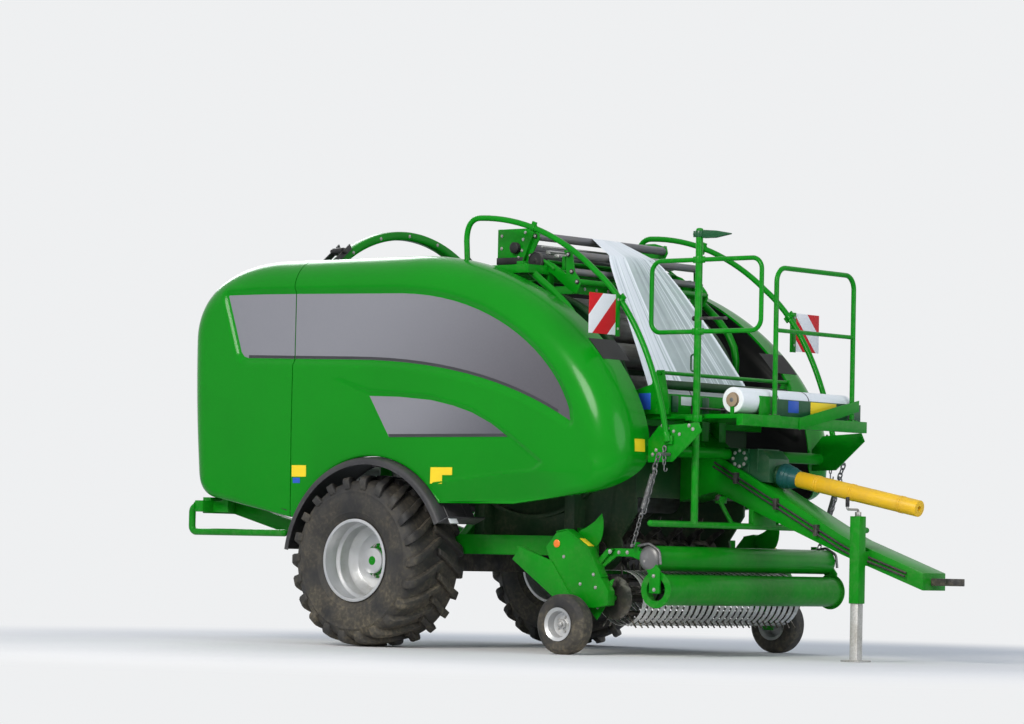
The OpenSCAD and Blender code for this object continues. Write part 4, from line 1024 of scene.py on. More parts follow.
def make_fenders():
    """Moulded fenders with a rolled outer edge, their feet, arms, bolts and labels."""
    rolled = [(0.745, 1.4080), (0.762, 1.4095), (0.780, 1.4060), (0.790, 1.3960), (0.796, 1.3800),
              (0.799, 1.3560), (0.800, 1.200), (0.800, 1.010), (0.797, 0.992), (0.785, 0.986)]
    inner = [(0.785, 0.993), (0.791, 1.000), (0.793, 1.010), (0.793, 1.200), (0.792, 1.352), (0.788, 1.374),
             (0.781, 1.388), (0.772, 1.397), (0.760, 1.4005), (0.745, 1.4000)]
    arc = swept_arc(rolled + inner, at(ARCH[0], 0, ARCH[1]), radians(25), radians(146), 72)
    along = Vector((cos(radians(25)), 0, sin(radians(25))))
    up = Vector((-sin(radians(25)), 0, cos(radians(25))))
    mid = at(ARCH[0], 0, ARCH[1])

    def spot(out, lift, y):
        """A place at the fender's front end: out from the arch's middle, up along the arc, and y."""
        return mid + along * out + up * lift + Vector((0, y, 0))

    foot = slab([spot(0.776, -0.004, 0.990), spot(0.885, -0.004, 0.990),
                 spot(0.885, -0.004, 1.395), spot(0.776, -0.004, 1.407)],
                up * 0.009, 0.003)
    skin = joined([foot, arc])
    ribs = [swept_arc([(0.7995, y - 0.006), (0.8035, y - 0.003), (0.8035, y + 0.003), (0.7995, y + 0.006)],
                      mid, radians(27), radians(142), 60) for y in (1.080, 1.290)]
    skin = joined(ribs + [skin])
    arm = [brick((ARCH[0] - 0.030, 0.770, 0.8265), (ARCH[0] + 0.030, 0.830, 1.345), 0.005),
           brick((ARCH[0] - 0.030, 0.770, 1.300), (ARCH[0] + 0.030, 1.300, 1.3585), 0.005)]
    bolts = hexes([spot(0.835, 0.005, y) for y in (1.345, 1.375)], up, 0.009, 0.007)
    label = slab([spot(0.870, -0.006, 1.300), spot(0.870, -0.006, 1.390),
                  spot(0.874, -0.046, 1.390), spot(0.874, -0.046, 1.300)],
                 along * 0.004, 0.001)
    holder = slab([spot(0.862, -0.002, 1.300), spot(0.862, -0.002, 1.390),
                   spot(0.870, -0.002, 1.390), spot(0.870, -0.002, 1.300)],
                  -up * 0.044)
    for piece, name, paint, nodes in ((joined([skin]), "fender_skin", "moulding", True),
                                      (joined(arm), "fender_arm", "black", False),
                                      (joined([bolts]), "fender_bolts", "zinc", False),
                                      (label, "fender_label", "sticker_white", False),
                                      (holder, "fender_label_holder", "black", False)):
        mirrored = other_side(piece)
        for o, hand in ((piece, "left"), (mirrored, "right")):
            finish(o, f"{name}_{hand}", paint, 40, (f"fender_{hand}",) if nodes else ())


# The ring with its guides and the film dispensers

RING = (-0.800, 0, 1.830)
BOLT_CIRCLE = 1.272
GUIDE_CIRCLE = 1.3355
GUIDE_ANGLE = 38


def make_ring():
    """Wrapping ring with its bolts and guide blocks, dispensers with their film, rollers and gears."""
    dressed("wrap_ring", "green", 0.014, 30, flat=0.1)
    centre = at(*RING)
    bolts = [centre + Vector((0.040, BOLT_CIRCLE * cos(a), BOLT_CIRCLE * sin(a)))
             for a in np.linspace(0, 2 * pi, 25)[:24]]
    finish(hexes(bolts, (1, 0, 0), 0.010, 0.007), "ring_bolts", "zinc", body="ring")
    track = turned_part([(1.248, -0.012), (1.256, -0.014), (1.262, -0.012), (1.262, -0.006),
                         (1.248, -0.006)], centre + Vector((-0.034, 0, 0)), "X", 120)
    finish(track, "ring_track", "steel", body="ring")
    dressed("dispensers", "green", 0.003, 30)
    dressed("ring_guides", "black", 0.003, 30)
    film, cores = [], []
    for side in (1, -1):
        c = at(-0.910, side * 1.069, 1.830)
        film.append(turned_part([(0.038, -0.375), (0.0945, -0.375), (0.0950, -0.372), (0.0950, 0.372),
                                 (0.0945, 0.375), (0.038, 0.375)], c, "X", 48))
        cores.append(sleeve(0.0385, 0.044, -0.383, 0.383, c, "X", 32))
    finish(joined(film), "dispenser_rolls", "film", 40, ("dispenser_film",), body="ring")
    finish(joined(cores), "dispenser_cores", "board_core", body="ring")
    caps, plates = [], []
    for side in (1, -1):
        for d in (-3.5, 3.5):
            a = radians(GUIDE_ANGLE + d)
            for x in (-0.8595, -0.7405):
                c = at(x, side * GUIDE_CIRCLE * sin(a), RING[2] + GUIDE_CIRCLE * cos(a))
                s = 1 if x > RING[0] else -1
                caps.append(drum(c, c + Vector((s * 0.012, 0, 0)), 0.020, 24, bevel=0.003))
                caps.append(hexes([c + Vector((s * 0.012, 0, 0))], (s, 0, 0), 0.010, 0.008))
        c = at(-0.8, side * 0.960, 2.760)
        plates.append(across([(side * 0.905, 2.7605), (side * 0.986, 2.7605), (side * 0.986, 2.800),
                              (side * 0.930, 2.838), (side * 0.905, 2.838)], -0.735, -0.660, 0.004))
        caps += [ball(at(x, side * 0.958, 2.812), 0.018, 8) for x in (-0.715, -0.680)]
    finish(joined(plates), "guide_blocks", "green")
    finish(joined(caps), "guide_caps", "black")


def ribbed(p, q, r, ribs, width=0.010, height=0.006):
    """A drum with raised rings."""
    p, q = Vector(p), Vector(q)
    body = drum(p, q, r, 40, bevel=0.003)
    rings = []
    for k in range(ribs):
        c = p.lerp(q, (k + 0.5) / ribs)
        w = (q - p).normalized() * width / 2
        rings.append(drum(c - w, c + w, r + height, 40, bevel=0.002))
    return joined(rings + [body])


# Frames, tubes and railings

GUARD_Y = 1.290
HOOP_Y = 1.008
POST_X, POST_Y = 2.620, -0.800
RAIL_X = 2.955


def clamp(centre, axis, r, wide=0.030, thick=0.010):
    """A two-part clamp round a tube, with its bolt ears."""
    centre, axis = Vector(centre), Vector(axis).normalized()
    up = Vector((0, 1, 0)) if abs(axis.y) < 0.7 else Vector((0, 0, 1))
    side = axis.cross(up).normalized()
    grip = drum(centre - axis * wide / 2, centre + axis * wide / 2, r + thick, 28, bevel=0.0025)
    ears = []
    for s in (1, -1):
        a = centre + side * s * (r + thick + 0.008)
        corners = ((-1, -0.014), (1, -0.014), (1, 0.010), (-1, 0.010))
        ears.append(slab([a + axis * wide / 2 * i + side * s * j - up * 0.007 for i, j in corners],
                         up * 0.014, 0.002))
        ears.append(hexes([a + up * 0.007], up, 0.006, 0.006))
    return joined(ears + [grip])


def make_frames():
    """Chassis, axle, upper frame, chamber, guard tubes and lamps."""
    dressed("chassis", "green", 0.004, 30)
    dressed("axle_beam", "black", 0.004, 30)
    dressed("upper_frame", "green", 0.003, 30)
    # the chamber gets near-black green, painted shade for the deep shade inside it
    dressed("chamber", "shade_green", 0.003, 30)
    dressed("bale_rollers", "steel", 0.002, 30)
    arches = []
    for side in (1, -1):
        way = [at(x, side * 0.900, z) for x, z in ((1.100, 2.770), (1.182, 2.726), (1.290, 2.645),
                                                   (1.409, 2.560), (1.529, 2.460),
                                                   (1.622, 2.355), (1.677, 2.255), (1.695, 2.159),
                                                   (1.690, 2.060), (1.660, 1.960))]
        arches.append(tube(way, 0.028, 24))
        arches.append(brick((1.630, side * 0.630 if side > 0 else -0.925, 1.925),
                            (1.690, 0.925 if side > 0 else -0.630, 1.975), 0.004))
        arches.append(brick((1.080, side * 0.900 - 0.030, 2.742), (1.140, side * 0.900 + 0.030, 2.790),
                            0.004))
    finish(joined(arches), "arch_pipes", "green", 40)
    dressed("feed_rotor", "black", 0.0015, 30)
    for side, hand in ((1, "left"), (-1, "right")):
        path = bends([at(-1.692, side * GUARD_Y, 1.002), at(-1.740, side * GUARD_Y, 1.002),
                      at(-1.740, side * GUARD_Y, 0.810), at(-0.790, side * GUARD_Y, 0.810)], 0.045, 8)
        pieces = [tube(path, 0.026, 24), ball(at(-0.790, side * GUARD_Y, 0.810), 0.0258, 10),
                  tube([at(-0.900, side * 0.961, 0.800), at(-0.900, side * 1.280, 0.808)], 0.014, 16),
                  drum(at(-1.6905, side * GUARD_Y, 1.002), at(-1.698, side * GUARD_Y, 1.002), 0.040, 28,
                       bevel=0.002), drum(at(-0.900, side * 0.960, 0.800), at(-0.900, side * 0.968, 0.800),
                                          0.026, 24, bevel=0.002)]
        stands_for = ("guard_tubes",) if hand == "left" else ()
        finish(joined(pieces), "guard_tube_" + hand, "green", 40, stands_for)
    lamps = []
    for side in (1, -1):
        box = brick((-1.722, side * 0.900, 0.966), (-1.6925, side * 1.130, 1.054), 0.006, 3)
        lamps.append(box)
        for y0, y1, paint in ((0.912, 0.968, "orange"), (0.974, 1.040, "red"), (1.046, 1.120, "red")):
            lens = brick((-1.743, side * y0, 0.976), (-1.721, side * y1, 1.045), 0.006, 3)
            finish(lens, f"lens_{int(y0 * 1000)}_{'left' if side > 0 else 'right'}", paint)
    finish(joined(lamps), "lamp_housings", "black", 34, ("lamps",))


def hoop_path():
    """The hoop's path in x and z."""
    return np.concatenate([[[0.690, 2.700], [0.674, 2.940]],
                           bezier([[0.674, 2.940], [0.672, 3.060], [0.720, 3.105], [0.800, 3.103]], 12)[1:],
                           bezier([[0.800, 3.103], [1.180, 3.095], [1.560, 2.950], [1.870, 2.690]], 16),
                           bezier([[1.870, 2.690], [2.200, 2.450], [2.430, 2.020], [2.530, 1.496]], 20),
                           [[2.530, 1.496]]])


def make_hoops():
    """Front guard hoops with their clamps and feet."""
    pieces, fittings, bolts = [], [], []
    rows = hoop_path()
    for side in (1, -1):
        y = side * HOOP_Y
        pieces.append(tube([at(x, y, z) for x, z in rows], 0.021, 28))
        pieces.append(ball(at(0.690, y, 2.700), 0.0208, 10))
        for z in (2.712, 2.752):
            fittings.append(clamp(at(0.690, y, z), (0, 0, 1), 0.0215, 0.022))
        k = int(np.argmin(abs(rows[:, 0] - 1.268) + 9 * (rows[:, 1] < 2.9)))
        way = rows[k + 1] - rows[k - 1]
        pieces.append(clamp(at(rows[k][0], y, rows[k][1]), (way[0], 0, way[1]), 0.0212, 0.040, 0.005))
        pieces.append(drum(at(2.519, y, 1.552), at(2.534, y, 1.487), 0.027, 24, bevel=0.002))
        pieces.append(brick((2.500, min(y, side * 0.987), 1.470), (2.570, max(y, side * 0.987), 1.530),
                            0.004))
        bolts.append(hexes([at(2.470 + 0.05 * i, side * 0.987, 1.600 - 0.02 * i) for i in range(4)],
                           (0, side, 0), 0.009, 0.008))
    finish(joined(pieces), "hoops", "green", 40, ("guard_hoops",))
    finish(joined(fittings), "hoop_clamps", "black")
    finish(joined(bolts), "hoop_bolts", "zinc")


def make_platform():
    """Film platform with its railing, post, loop rail, latch, lever and the bar in front of the pick-up."""
    dressed("platform", "green", 0.003, 30)
    r, steel, black, dark = 0.018, [], [], []
    x = RAIL_X
    steel.append(tube(bends([at(x, 0.600, 1.695), at(x, 0.600, 2.730), at(x, -0.340, 2.730),
                             at(x, -0.340, 1.695)], 0.100, 10), r, 28))
    steel.append(tube([at(x, 0.600, 2.290), at(x, -0.340, 2.290)], 0.015, 24))
    for y in (0.600, -0.340):
        steel.append(brick((x - 0.030, y - 0.030, 1.6895), (x + 0.030, y + 0.030, 1.697), 0.002))
        black.append(hexes([at(x + d, y + e, 1.697) for d in (-0.020, 0.020) for e in (-0.020, 0.020)],
                           (0, 0, 1), 0.0055, 0.005))
    y = POST_Y
    steel.append(tube([at(POST_X, y, 0.922), at(POST_X, y, 2.972)], 0.0255, 32))
    steel.append(ball(at(POST_X, y, 2.972), 0.0252, 10, 0.4))
    for far in (2.210, 3.160):
        steel.append(tube(bends([at(POST_X, y, 2.760), at(far, y, 2.760), at(far, y, 2.260),
                                 at(POST_X, y, 2.260)], 0.080, 10), 0.0165, 28))
    steel.append(crossbar(POST_X, 1.296, 0.920, 0.022, 28))
    for s in (1, -1):
        steel.append(ball(at(POST_X, s * 1.296, 0.920), 0.0218, 10))
    steel.append(plate([(2.600, 0.920), (2.640, 0.920), (2.640, 1.045), (2.600, 1.060)], -0.139, 0.139,
                       0.003))
    steel.append(brick((2.540, y - 0.020, 1.641), (2.600, -0.7205, 1.669), 0.003))
    for z in (2.260, 2.760, 1.655):
        steel.append(clamp(at(POST_X, y, z), (0, 0, 1), 0.0260, 0.046, 0.005))
    # gusset at the post's foot, slanted strut with its knob, foot plates of the loop
    steel.append(plate([(2.590, 0.950), (2.650, 0.950), (2.630, 1.120), (2.610, 1.120)], y - 0.003,
                       y + 0.003, 0.001))
    strut = tube([at(2.500, -0.200, 0.938), at(2.385, -0.200, 1.105)], 0.016, 20)
    steel += [strut, tube([at(2.500, -0.200, 0.938), at(2.615, -0.200, 0.925)], 0.014, 20),
              brick((2.360, -0.215, 1.080), (2.410, -0.139, 1.130), 0.004)]
    black.append(ball(at(2.378, -0.200, 1.118), 0.026, 10))
    # lever with its collar on top, the pin and the latch
    dark.append(plate([(2.644, 2.922), (2.660, 2.908), (2.760, 2.908), (2.890, 2.929), (2.890, 2.937),
                       (2.770, 2.958), (2.665, 2.966), (2.644, 2.956)], y - 0.016, y + 0.016, 0.005))
    dark.append(clamp(at(POST_X, y, 2.940), (0, 0, 1), 0.0260, 0.044, 0.007))
    dark.append(drum(at(2.600, y, 2.940), at(2.572, y, 2.940), 0.015, 24, bevel=0.003))
    black.append(tube([at(2.580, y, 2.352), at(2.868, y, 2.348)], 0.011, 20))
    black.append(drum(at(2.594, y, 2.352), at(2.578, y, 2.352), 0.018, 20, bevel=0.003))
    dark.append(tube(bends([at(2.604, y, 2.100), at(2.566, y, 2.100), at(2.566, y, 1.985),
                            at(2.604, y, 1.985)], 0.018, 5), 0.0065, 12))
    # brace in front of the railing and the toe board behind it
    steel.append(across([(-0.090, 1.602), (-0.090, 1.686), (0.400, 1.790), (0.640, 1.840), (0.640, 1.760),
                         (0.400, 1.705)], 2.9855, 2.9915, 0.001))
    dark.append(brick((2.922, -0.300, 1.6895), (2.932, 0.745, 1.812), 0.002))
    steel.append(brick((2.912, -0.470, 1.6895), (2.928, -0.300, 1.826), 0.003))
    # channel in front of the first roll, with bolts and a rod
    steel.append(brick((2.262, -0.735, 1.6895), (2.292, 0.735, 1.838), 0.004))
    black.append(tube([at(2.330, -0.420, 1.745), at(2.330, 0.380, 1.745)], 0.009, 16))
    black += [brick((2.292, y, 1.6895), (2.345, y + 0.020, 1.765), 0.003) for y in (-0.430, -0.080, 0.360)]
    dark += [brick((2.2915, y, 1.710), (2.304, y + 0.070, 1.825), 0.003)
             for y in (-0.660, -0.300, 0.160, 0.520)]
    finish(brick((2.2918, -0.545, 1.762), (2.2932, -0.425, 1.822), 0.0004), "platform_tag_white",
           "sticker_white")
    labels = [("platform_tag_blue", "sticker_blue", -0.146, -0.020),
              ("platform_tag_yellow", "sticker_yellow", 0.125, 0.440)]
    for name, paint, y0, y1 in labels:
        finish(brick((2.9318, y0, 1.722), (2.9333, y1, 1.806), 0.0004), name, paint)
    finish(joined(steel), "railing_tubes", "green", 40, ("railings",))
    finish(joined(black), "railing_fittings", "black", 34)
    finish(joined(dark), "railing_lever", "dark_green", 34)


def make_boards():
    """Warning boards with slanting stripes on green edge plates."""
    boards, holders, bolts = [], [], []
    for side in (1, -1):
        boards.append(brick((2.106, side * 1.0395, 2.230), (2.1095, side * 1.3735, 2.512), 0.0012))
        holders.append(brick((2.0935, side * 1.0315, 2.460), (2.1055, side * 1.249, 2.496), 0.002))
        holders.append(brick((2.0935, side * 1.0315, 2.260), (2.1055, side * 1.249, 2.290), 0.002))
        holders.append(brick((2.1097, side * 1.0300, 2.222), (2.1125, side * 1.0780, 2.516), 0.001))
        holders.append(brick((2.0900, side * 1.0300, 2.222), (2.1125, side * 1.0335, 2.516), 0.001))
        holders.append(clamp(at(2.098, side * HOOP_Y, 2.481), (0.66, 0, -0.75), 0.0213, 0.045, 0.005))
        bolts.append(hexes([at(2.1125, side * 1.056, z) for z in (2.275, 2.478)], (1, 0, 0), 0.007, 0.005))
    finish(joined(boards), "striped_boards", "board", 34, ("warning_boards",))
    finish(joined(holders), "board_brackets", "green")
    finish(joined(bolts), "board_bolts", "zinc")


FACE = 0.7625
APPLICATOR_ROLLS = ((1.115, 2.980, 0.030), (1.075, 2.840, 0.034), (0.940, 2.900, 0.042),
                    (1.424, 2.838, 0.028), (1.458, 2.715, 0.025), (1.509, 2.640, 0.022))
PLATFORM_ROLLS = ((2.140, 1.810, 0.095, 0.620), (2.830, 1.790, 0.090, 0.660))


def roller(r, centre):
    """A roller across the applicator, with chamfered ends."""
    return turned_part([(0.004, -0.748), (r - 0.004, -0.748), (r, -0.742), (r, 0.742), (r - 0.004, 0.748),
                        (0.004, 0.748)], centre, "Y", 40)


def make_applicator():
    """Film applicator with its rollers, and the film rolls on the platform."""
    side_plate = [(0.760, 3.040), (0.760, 2.760), (1.150, 2.760), (1.270, 2.705), (1.430, 2.585),
                  (1.500, 2.553), (1.535, 2.620), (1.522, 2.665), (1.478, 2.715), (1.454, 2.858),
                  (1.424, 2.870), (1.397, 2.856), (1.402, 2.700), (1.290, 2.775),
                  (1.180, 2.815), (1.070, 2.830), (1.152, 2.965), (1.140, 3.010), (1.030, 3.040)]
    body = [plate(side_plate, -0.762, -0.750, 0.003), plate(side_plate, 0.750, 0.762, 0.003),
            brick((0.770, -0.7505, 2.760), (0.800, 0.7505, 2.960), 0.003),
            brick((1.455, -0.7495, 2.556), (1.463, 0.7495, 2.622), 0.002),
            brick((1.460, -0.7495, 2.556), (1.500, 0.7495, 2.562), 0.002)]
    finish(joined(body), "applicator_plates", "green", 30, ("applicator",))
    rolls, ends, bars = [], [], []
    bright = [hexes([at(1.463, y, 2.597) for y in (-0.62, -0.485, -0.35, 0.35, 0.485, 0.62)], (1, 0, 0),
                    0.009, 0.007)]
    for x, z, r in APPLICATOR_ROLLS:
        (bars if r < 0.023 else rolls).append(roller(r, at(x, 0, z)))
        for side in (1, -1):
            ends.append(drum(at(x, side * FACE, z), at(x, side * 0.772, z), 0.018, 24, bevel=0.003))
            bright.append(hexes([at(x, side * 0.772, z)], (0, side, 0), 0.008, 0.007))
    finish(joined(rolls), "applicator_rolls", "roller", 40, ("applicator_rollers",))
    for side in (1, -1):
        bright.append(hexes([at(x, side * FACE, z) for x, z in ((0.800, 2.800), (0.800, 2.900),
                                                                (0.800, 2.990), (0.990, 2.880),
                                                                (1.000, 2.960),
                                                                (1.020, 3.010), (0.960, 2.830))],
                            (0, side, 0), 0.009, 0.008))
        # folded edge of the side plate and the dark strip below it
        bars.append(slab([at(1.016, side * 0.7615, 2.800), at(1.026, side * 0.7615, 2.800),
                          at(1.118, side * 0.7615, 3.020), at(1.108, side * 0.7615, 3.024)],
                         (0, side * 0.030, 0), 0.002))
        ends.append(brick((0.762, side * 0.7630, 2.782), (1.018, side * 0.775, 2.832), 0.003))
        # lower lugs with their struts
        bars.append(tube([at(1.300, side * 0.770, 2.735), at(1.130, side * 0.770, 2.850)], 0.010, 16))
    for z, x, r in ((2.725, 1.300, 0.010), (2.640, 1.385, 0.010), (2.800, 1.010, 0.016),
                    (2.795, 1.220, 0.012)):
        bars.append(crossbar(x, 0.7495, z, r, 20))
    bright += [crossbar(x, 0.742, z, 0.008, 16) for x, z in ((1.160, 2.905), (1.225, 2.868))]
    bright += [brick((x, y, z), (x + 0.045, y + 0.110, z + 0.030), 0.006, 3)
               for x, y, z in ((1.150, -0.690, 2.850), (1.235, -0.700, 2.822), (1.150, 0.560, 2.850),
                               (1.235, 0.560, 2.822))]
    bars += [brick((x, y, z), (x + 0.030, y + 0.020, z + 0.100), 0.004)
             for x, y, z in ((1.215, -0.560, 2.790), (1.340, -0.735, 2.730), (1.380, 0.700, 2.650))]
    wheel = turned_part([(0.008, -0.014), (0.048, -0.014), (0.056, -0.012), (0.058, -0.016),
                         (0.062, -0.016), (0.062, 0.016), (0.058, 0.016), (0.056, 0.012), (0.048, 0.014),
                         (0.008, 0.014)], at(1.144, -0.785, 2.800), "Y", 48)
    ends.append(wheel)
    ends.append(drum(at(1.144, -FACE, 2.800), at(1.144, -0.806, 2.800), 0.014, 24, bevel=0.002))
    ends.append(ribbed(at(0.940, -0.764, 2.900), at(0.940, -0.800, 2.900), 0.036, 3, 0.006, 0.005))
    ends.append(brick((0.762, -0.749, 2.770), (0.769, 0.749, 2.800), 0.002))
    finish(joined(ends), "applicator_fittings", "black")
    finish(joined(bright), "applicator_bolts", "zinc")
    finish(joined(bars), "applicator_bars", "green", 40)
    rolls, cores, straps, ends, plates = [], [], [], [], []
    for x, z, r, half in PLATFORM_ROLLS:
        rolls.append(turned_part([(0.0520, -half + 0.004), (0.0535, -half), (r - 0.003, -half),
                                  (r - 0.0004, -half + 0.003), (r - 0.0004, half - 0.003),
                                  (r - 0.003, half), (0.0535, half), (0.0520, half - 0.004)], at(x, 0, z),
                                 "Y", 64))
        cores.append(sleeve(0.0445, 0.0522, -half - 0.003, half + 0.003, at(x, 0, z), "Y", 48))
        ends.append(drum(at(x, -half - 0.0025, z), at(x, half + 0.0025, z), 0.0446, 40))
        ends.append(drum(at(x, -half - 0.018, z), at(x, half + 0.018, z), 0.016, 24, bevel=0.002))
        cores += [drum(at(x, s * (half + 0.0125), z), at(x, s * (half + 0.016), z), 0.047, 40, bevel=0.001)
                  for s in (1, -1)]
        for y in ((-0.25, 0.12) if x > 2.5 else (-0.35, 0.3)):
            straps.append(sleeve(r - 0.001, r + 0.0012, y, y + 0.008, at(x, 0, z), "Y", 64))
    finish(joined(rolls), "platform_rolls", "film", 40, ("film_rolls",))
    finish(joined(cores), "roll_cores", "board_core")
    finish(joined(ends), "roll_spindles", "spring")
    finish(joined(straps), "roll_straps", "rubber")
    # guide roller and bar that the film passes behind, between end plates with a blank label
    for side in (1, -1):
        plates.append(plate([(2.052, 1.6905), (2.345, 1.6905), (2.352, 1.760), (2.300, 2.000),
                             (2.235, 2.000), (2.190, 1.900), (2.052, 1.860)], side * 0.751, side * 0.758,
                            0.0015))
        plates.append(hexes([at(xx, side * 0.758, zz)
                             for xx, zz in ((2.240, 1.780), (2.320, 1.730), (2.240, 1.720),
                                            (2.090, 1.705))], (0, side, 0), 0.008, 0.007))
        finish(brick((2.082, side * 0.7578, 1.724), (2.186, side * 0.7596, 1.838), 0.0005),
               f"end_tag_{'left' if side > 0 else 'right'}", "sticker_blue")
    plates.append(crossbar(2.270, 0.770, 1.982, 0.014, 24))
    finish(joined(plates), "roll_end_plates", "green", 40)
    guide = roller(0.033, at(2.268, 0, 1.900))
    # the guide roller gets the near-black green of painted shade
    finish(guide, "film_guide_roller", "shade_green", 40)


# Path of the drawn film: x, z, and y of its two edges
WEB = np.array([(1.105, 3.0112, -0.118, 0.200), (1.128, 3.0085, -0.130, 0.200),
                (1.4362, 2.8648, -0.316, 0.226), (1.4434, 2.8600, -0.321, 0.227),
                (1.4489, 2.8536, -0.325, 0.229), (2.062, 1.871, -0.615, 0.610)])


def make_film():
    """The film drawn from the platform's roll up to the applicator, gathered into long pleats."""
    rest()
    bpy.ops.mesh.primitive_grid_add(x_subdivisions=72, y_subdivisions=200, size=1)
    o = bpy.context.object
    way = np.concatenate([[0], np.cumsum(np.hypot(*(WEB[1:, :2] - WEB[:-1, :2]).T))])
    rng = np.random.default_rng(11)
    phase = rng.uniform(0, 6.28, 9)
    places = [(v.co.x + 0.5, v.co.y * 2) for v in o.data.vertices]
    for v, (t, s) in zip(o.data.vertices, places):
        # close rows over the rollers, wide ones below them
        to = way[-1] * t if t > 0.27 else (way[4] + 0.02) * t / 0.27
        to = to if t <= 0.27 else way[4] + 0.02 + (way[-1] - way[4] - 0.02) * (t - 0.27) / 0.73
        x, z = (np.interp(to, way, WEB[:, k]) for k in (0, 1))
        free = max(0.0, (to - way[4]) / (way[-1] - way[4]))
        low, high = (np.interp(to, way, WEB[:, k]) if free == 0 else WEB[4, k] + (WEB[5, k] - WEB[4, k])
                     * free ** 0.72 for k in (2, 3))
        y = (low + high) / 2 + (high - low) / 2 * s
        fold = sum(sin((5 + 5.5 * k) * s * (1 + 0.08 * sin(phase[k])) + phase[k] + 0.7
                       * sin(3 * t + phase[k])) / (1 + 0.5 * k) for k in range(7))
        fade = min(1.0, 12 * (1 - t) + 0.05)
        off = 0.0035 * (0.25 + smooth(free / 0.05)) * (1 - 0.75 * free) * (fold + 1.4) * fade
        off += 0.022 * sin(pi * min(1, free)) * (s * s - 0.4) * min(1, free / 0.2)
        v.co = at(x + 0.80 * off, y, z + 0.60 * off)
    mark = o.data.attributes.new("pleat", "FLOAT", "POINT")
    lines = [(rng.uniform(-1, 1), rng.uniform(0.004, 0.014), rng.uniform(0.3, 0.9)) for k in range(24)]
    lines += [(rng.uniform(-1, -0.30), rng.uniform(0.006, 0.024), rng.uniform(0.6, 1.0)) for k in range(24)]
    for (t, s), value in zip(places, mark.data):
        band = sum(h * exp(-((s - c - 0.02 * sin(3 * t + 9 * c)) / w) ** 2) for c, w, h in lines)
        dense = 0.9 * smooth((abs(s) - 0.92) / 0.06) + 0.75 * smooth((0.36 - t) / 0.24)
        band += dense + 0.30 * smooth((-s - 0.3) / 0.3)
        value.value = float(min(1.0, band))
    finish(o, "drawn_film", "web", 60, ("film_web",))


# Pick-up

CROP_ROLLER = (2.485, 0, 0.465)
UPPER_ROLLER = (2.430, 0, 0.680)
GAUGE_X, GAUGE_Y, GAUGE_Z = 1.860, 1.260, 0.210


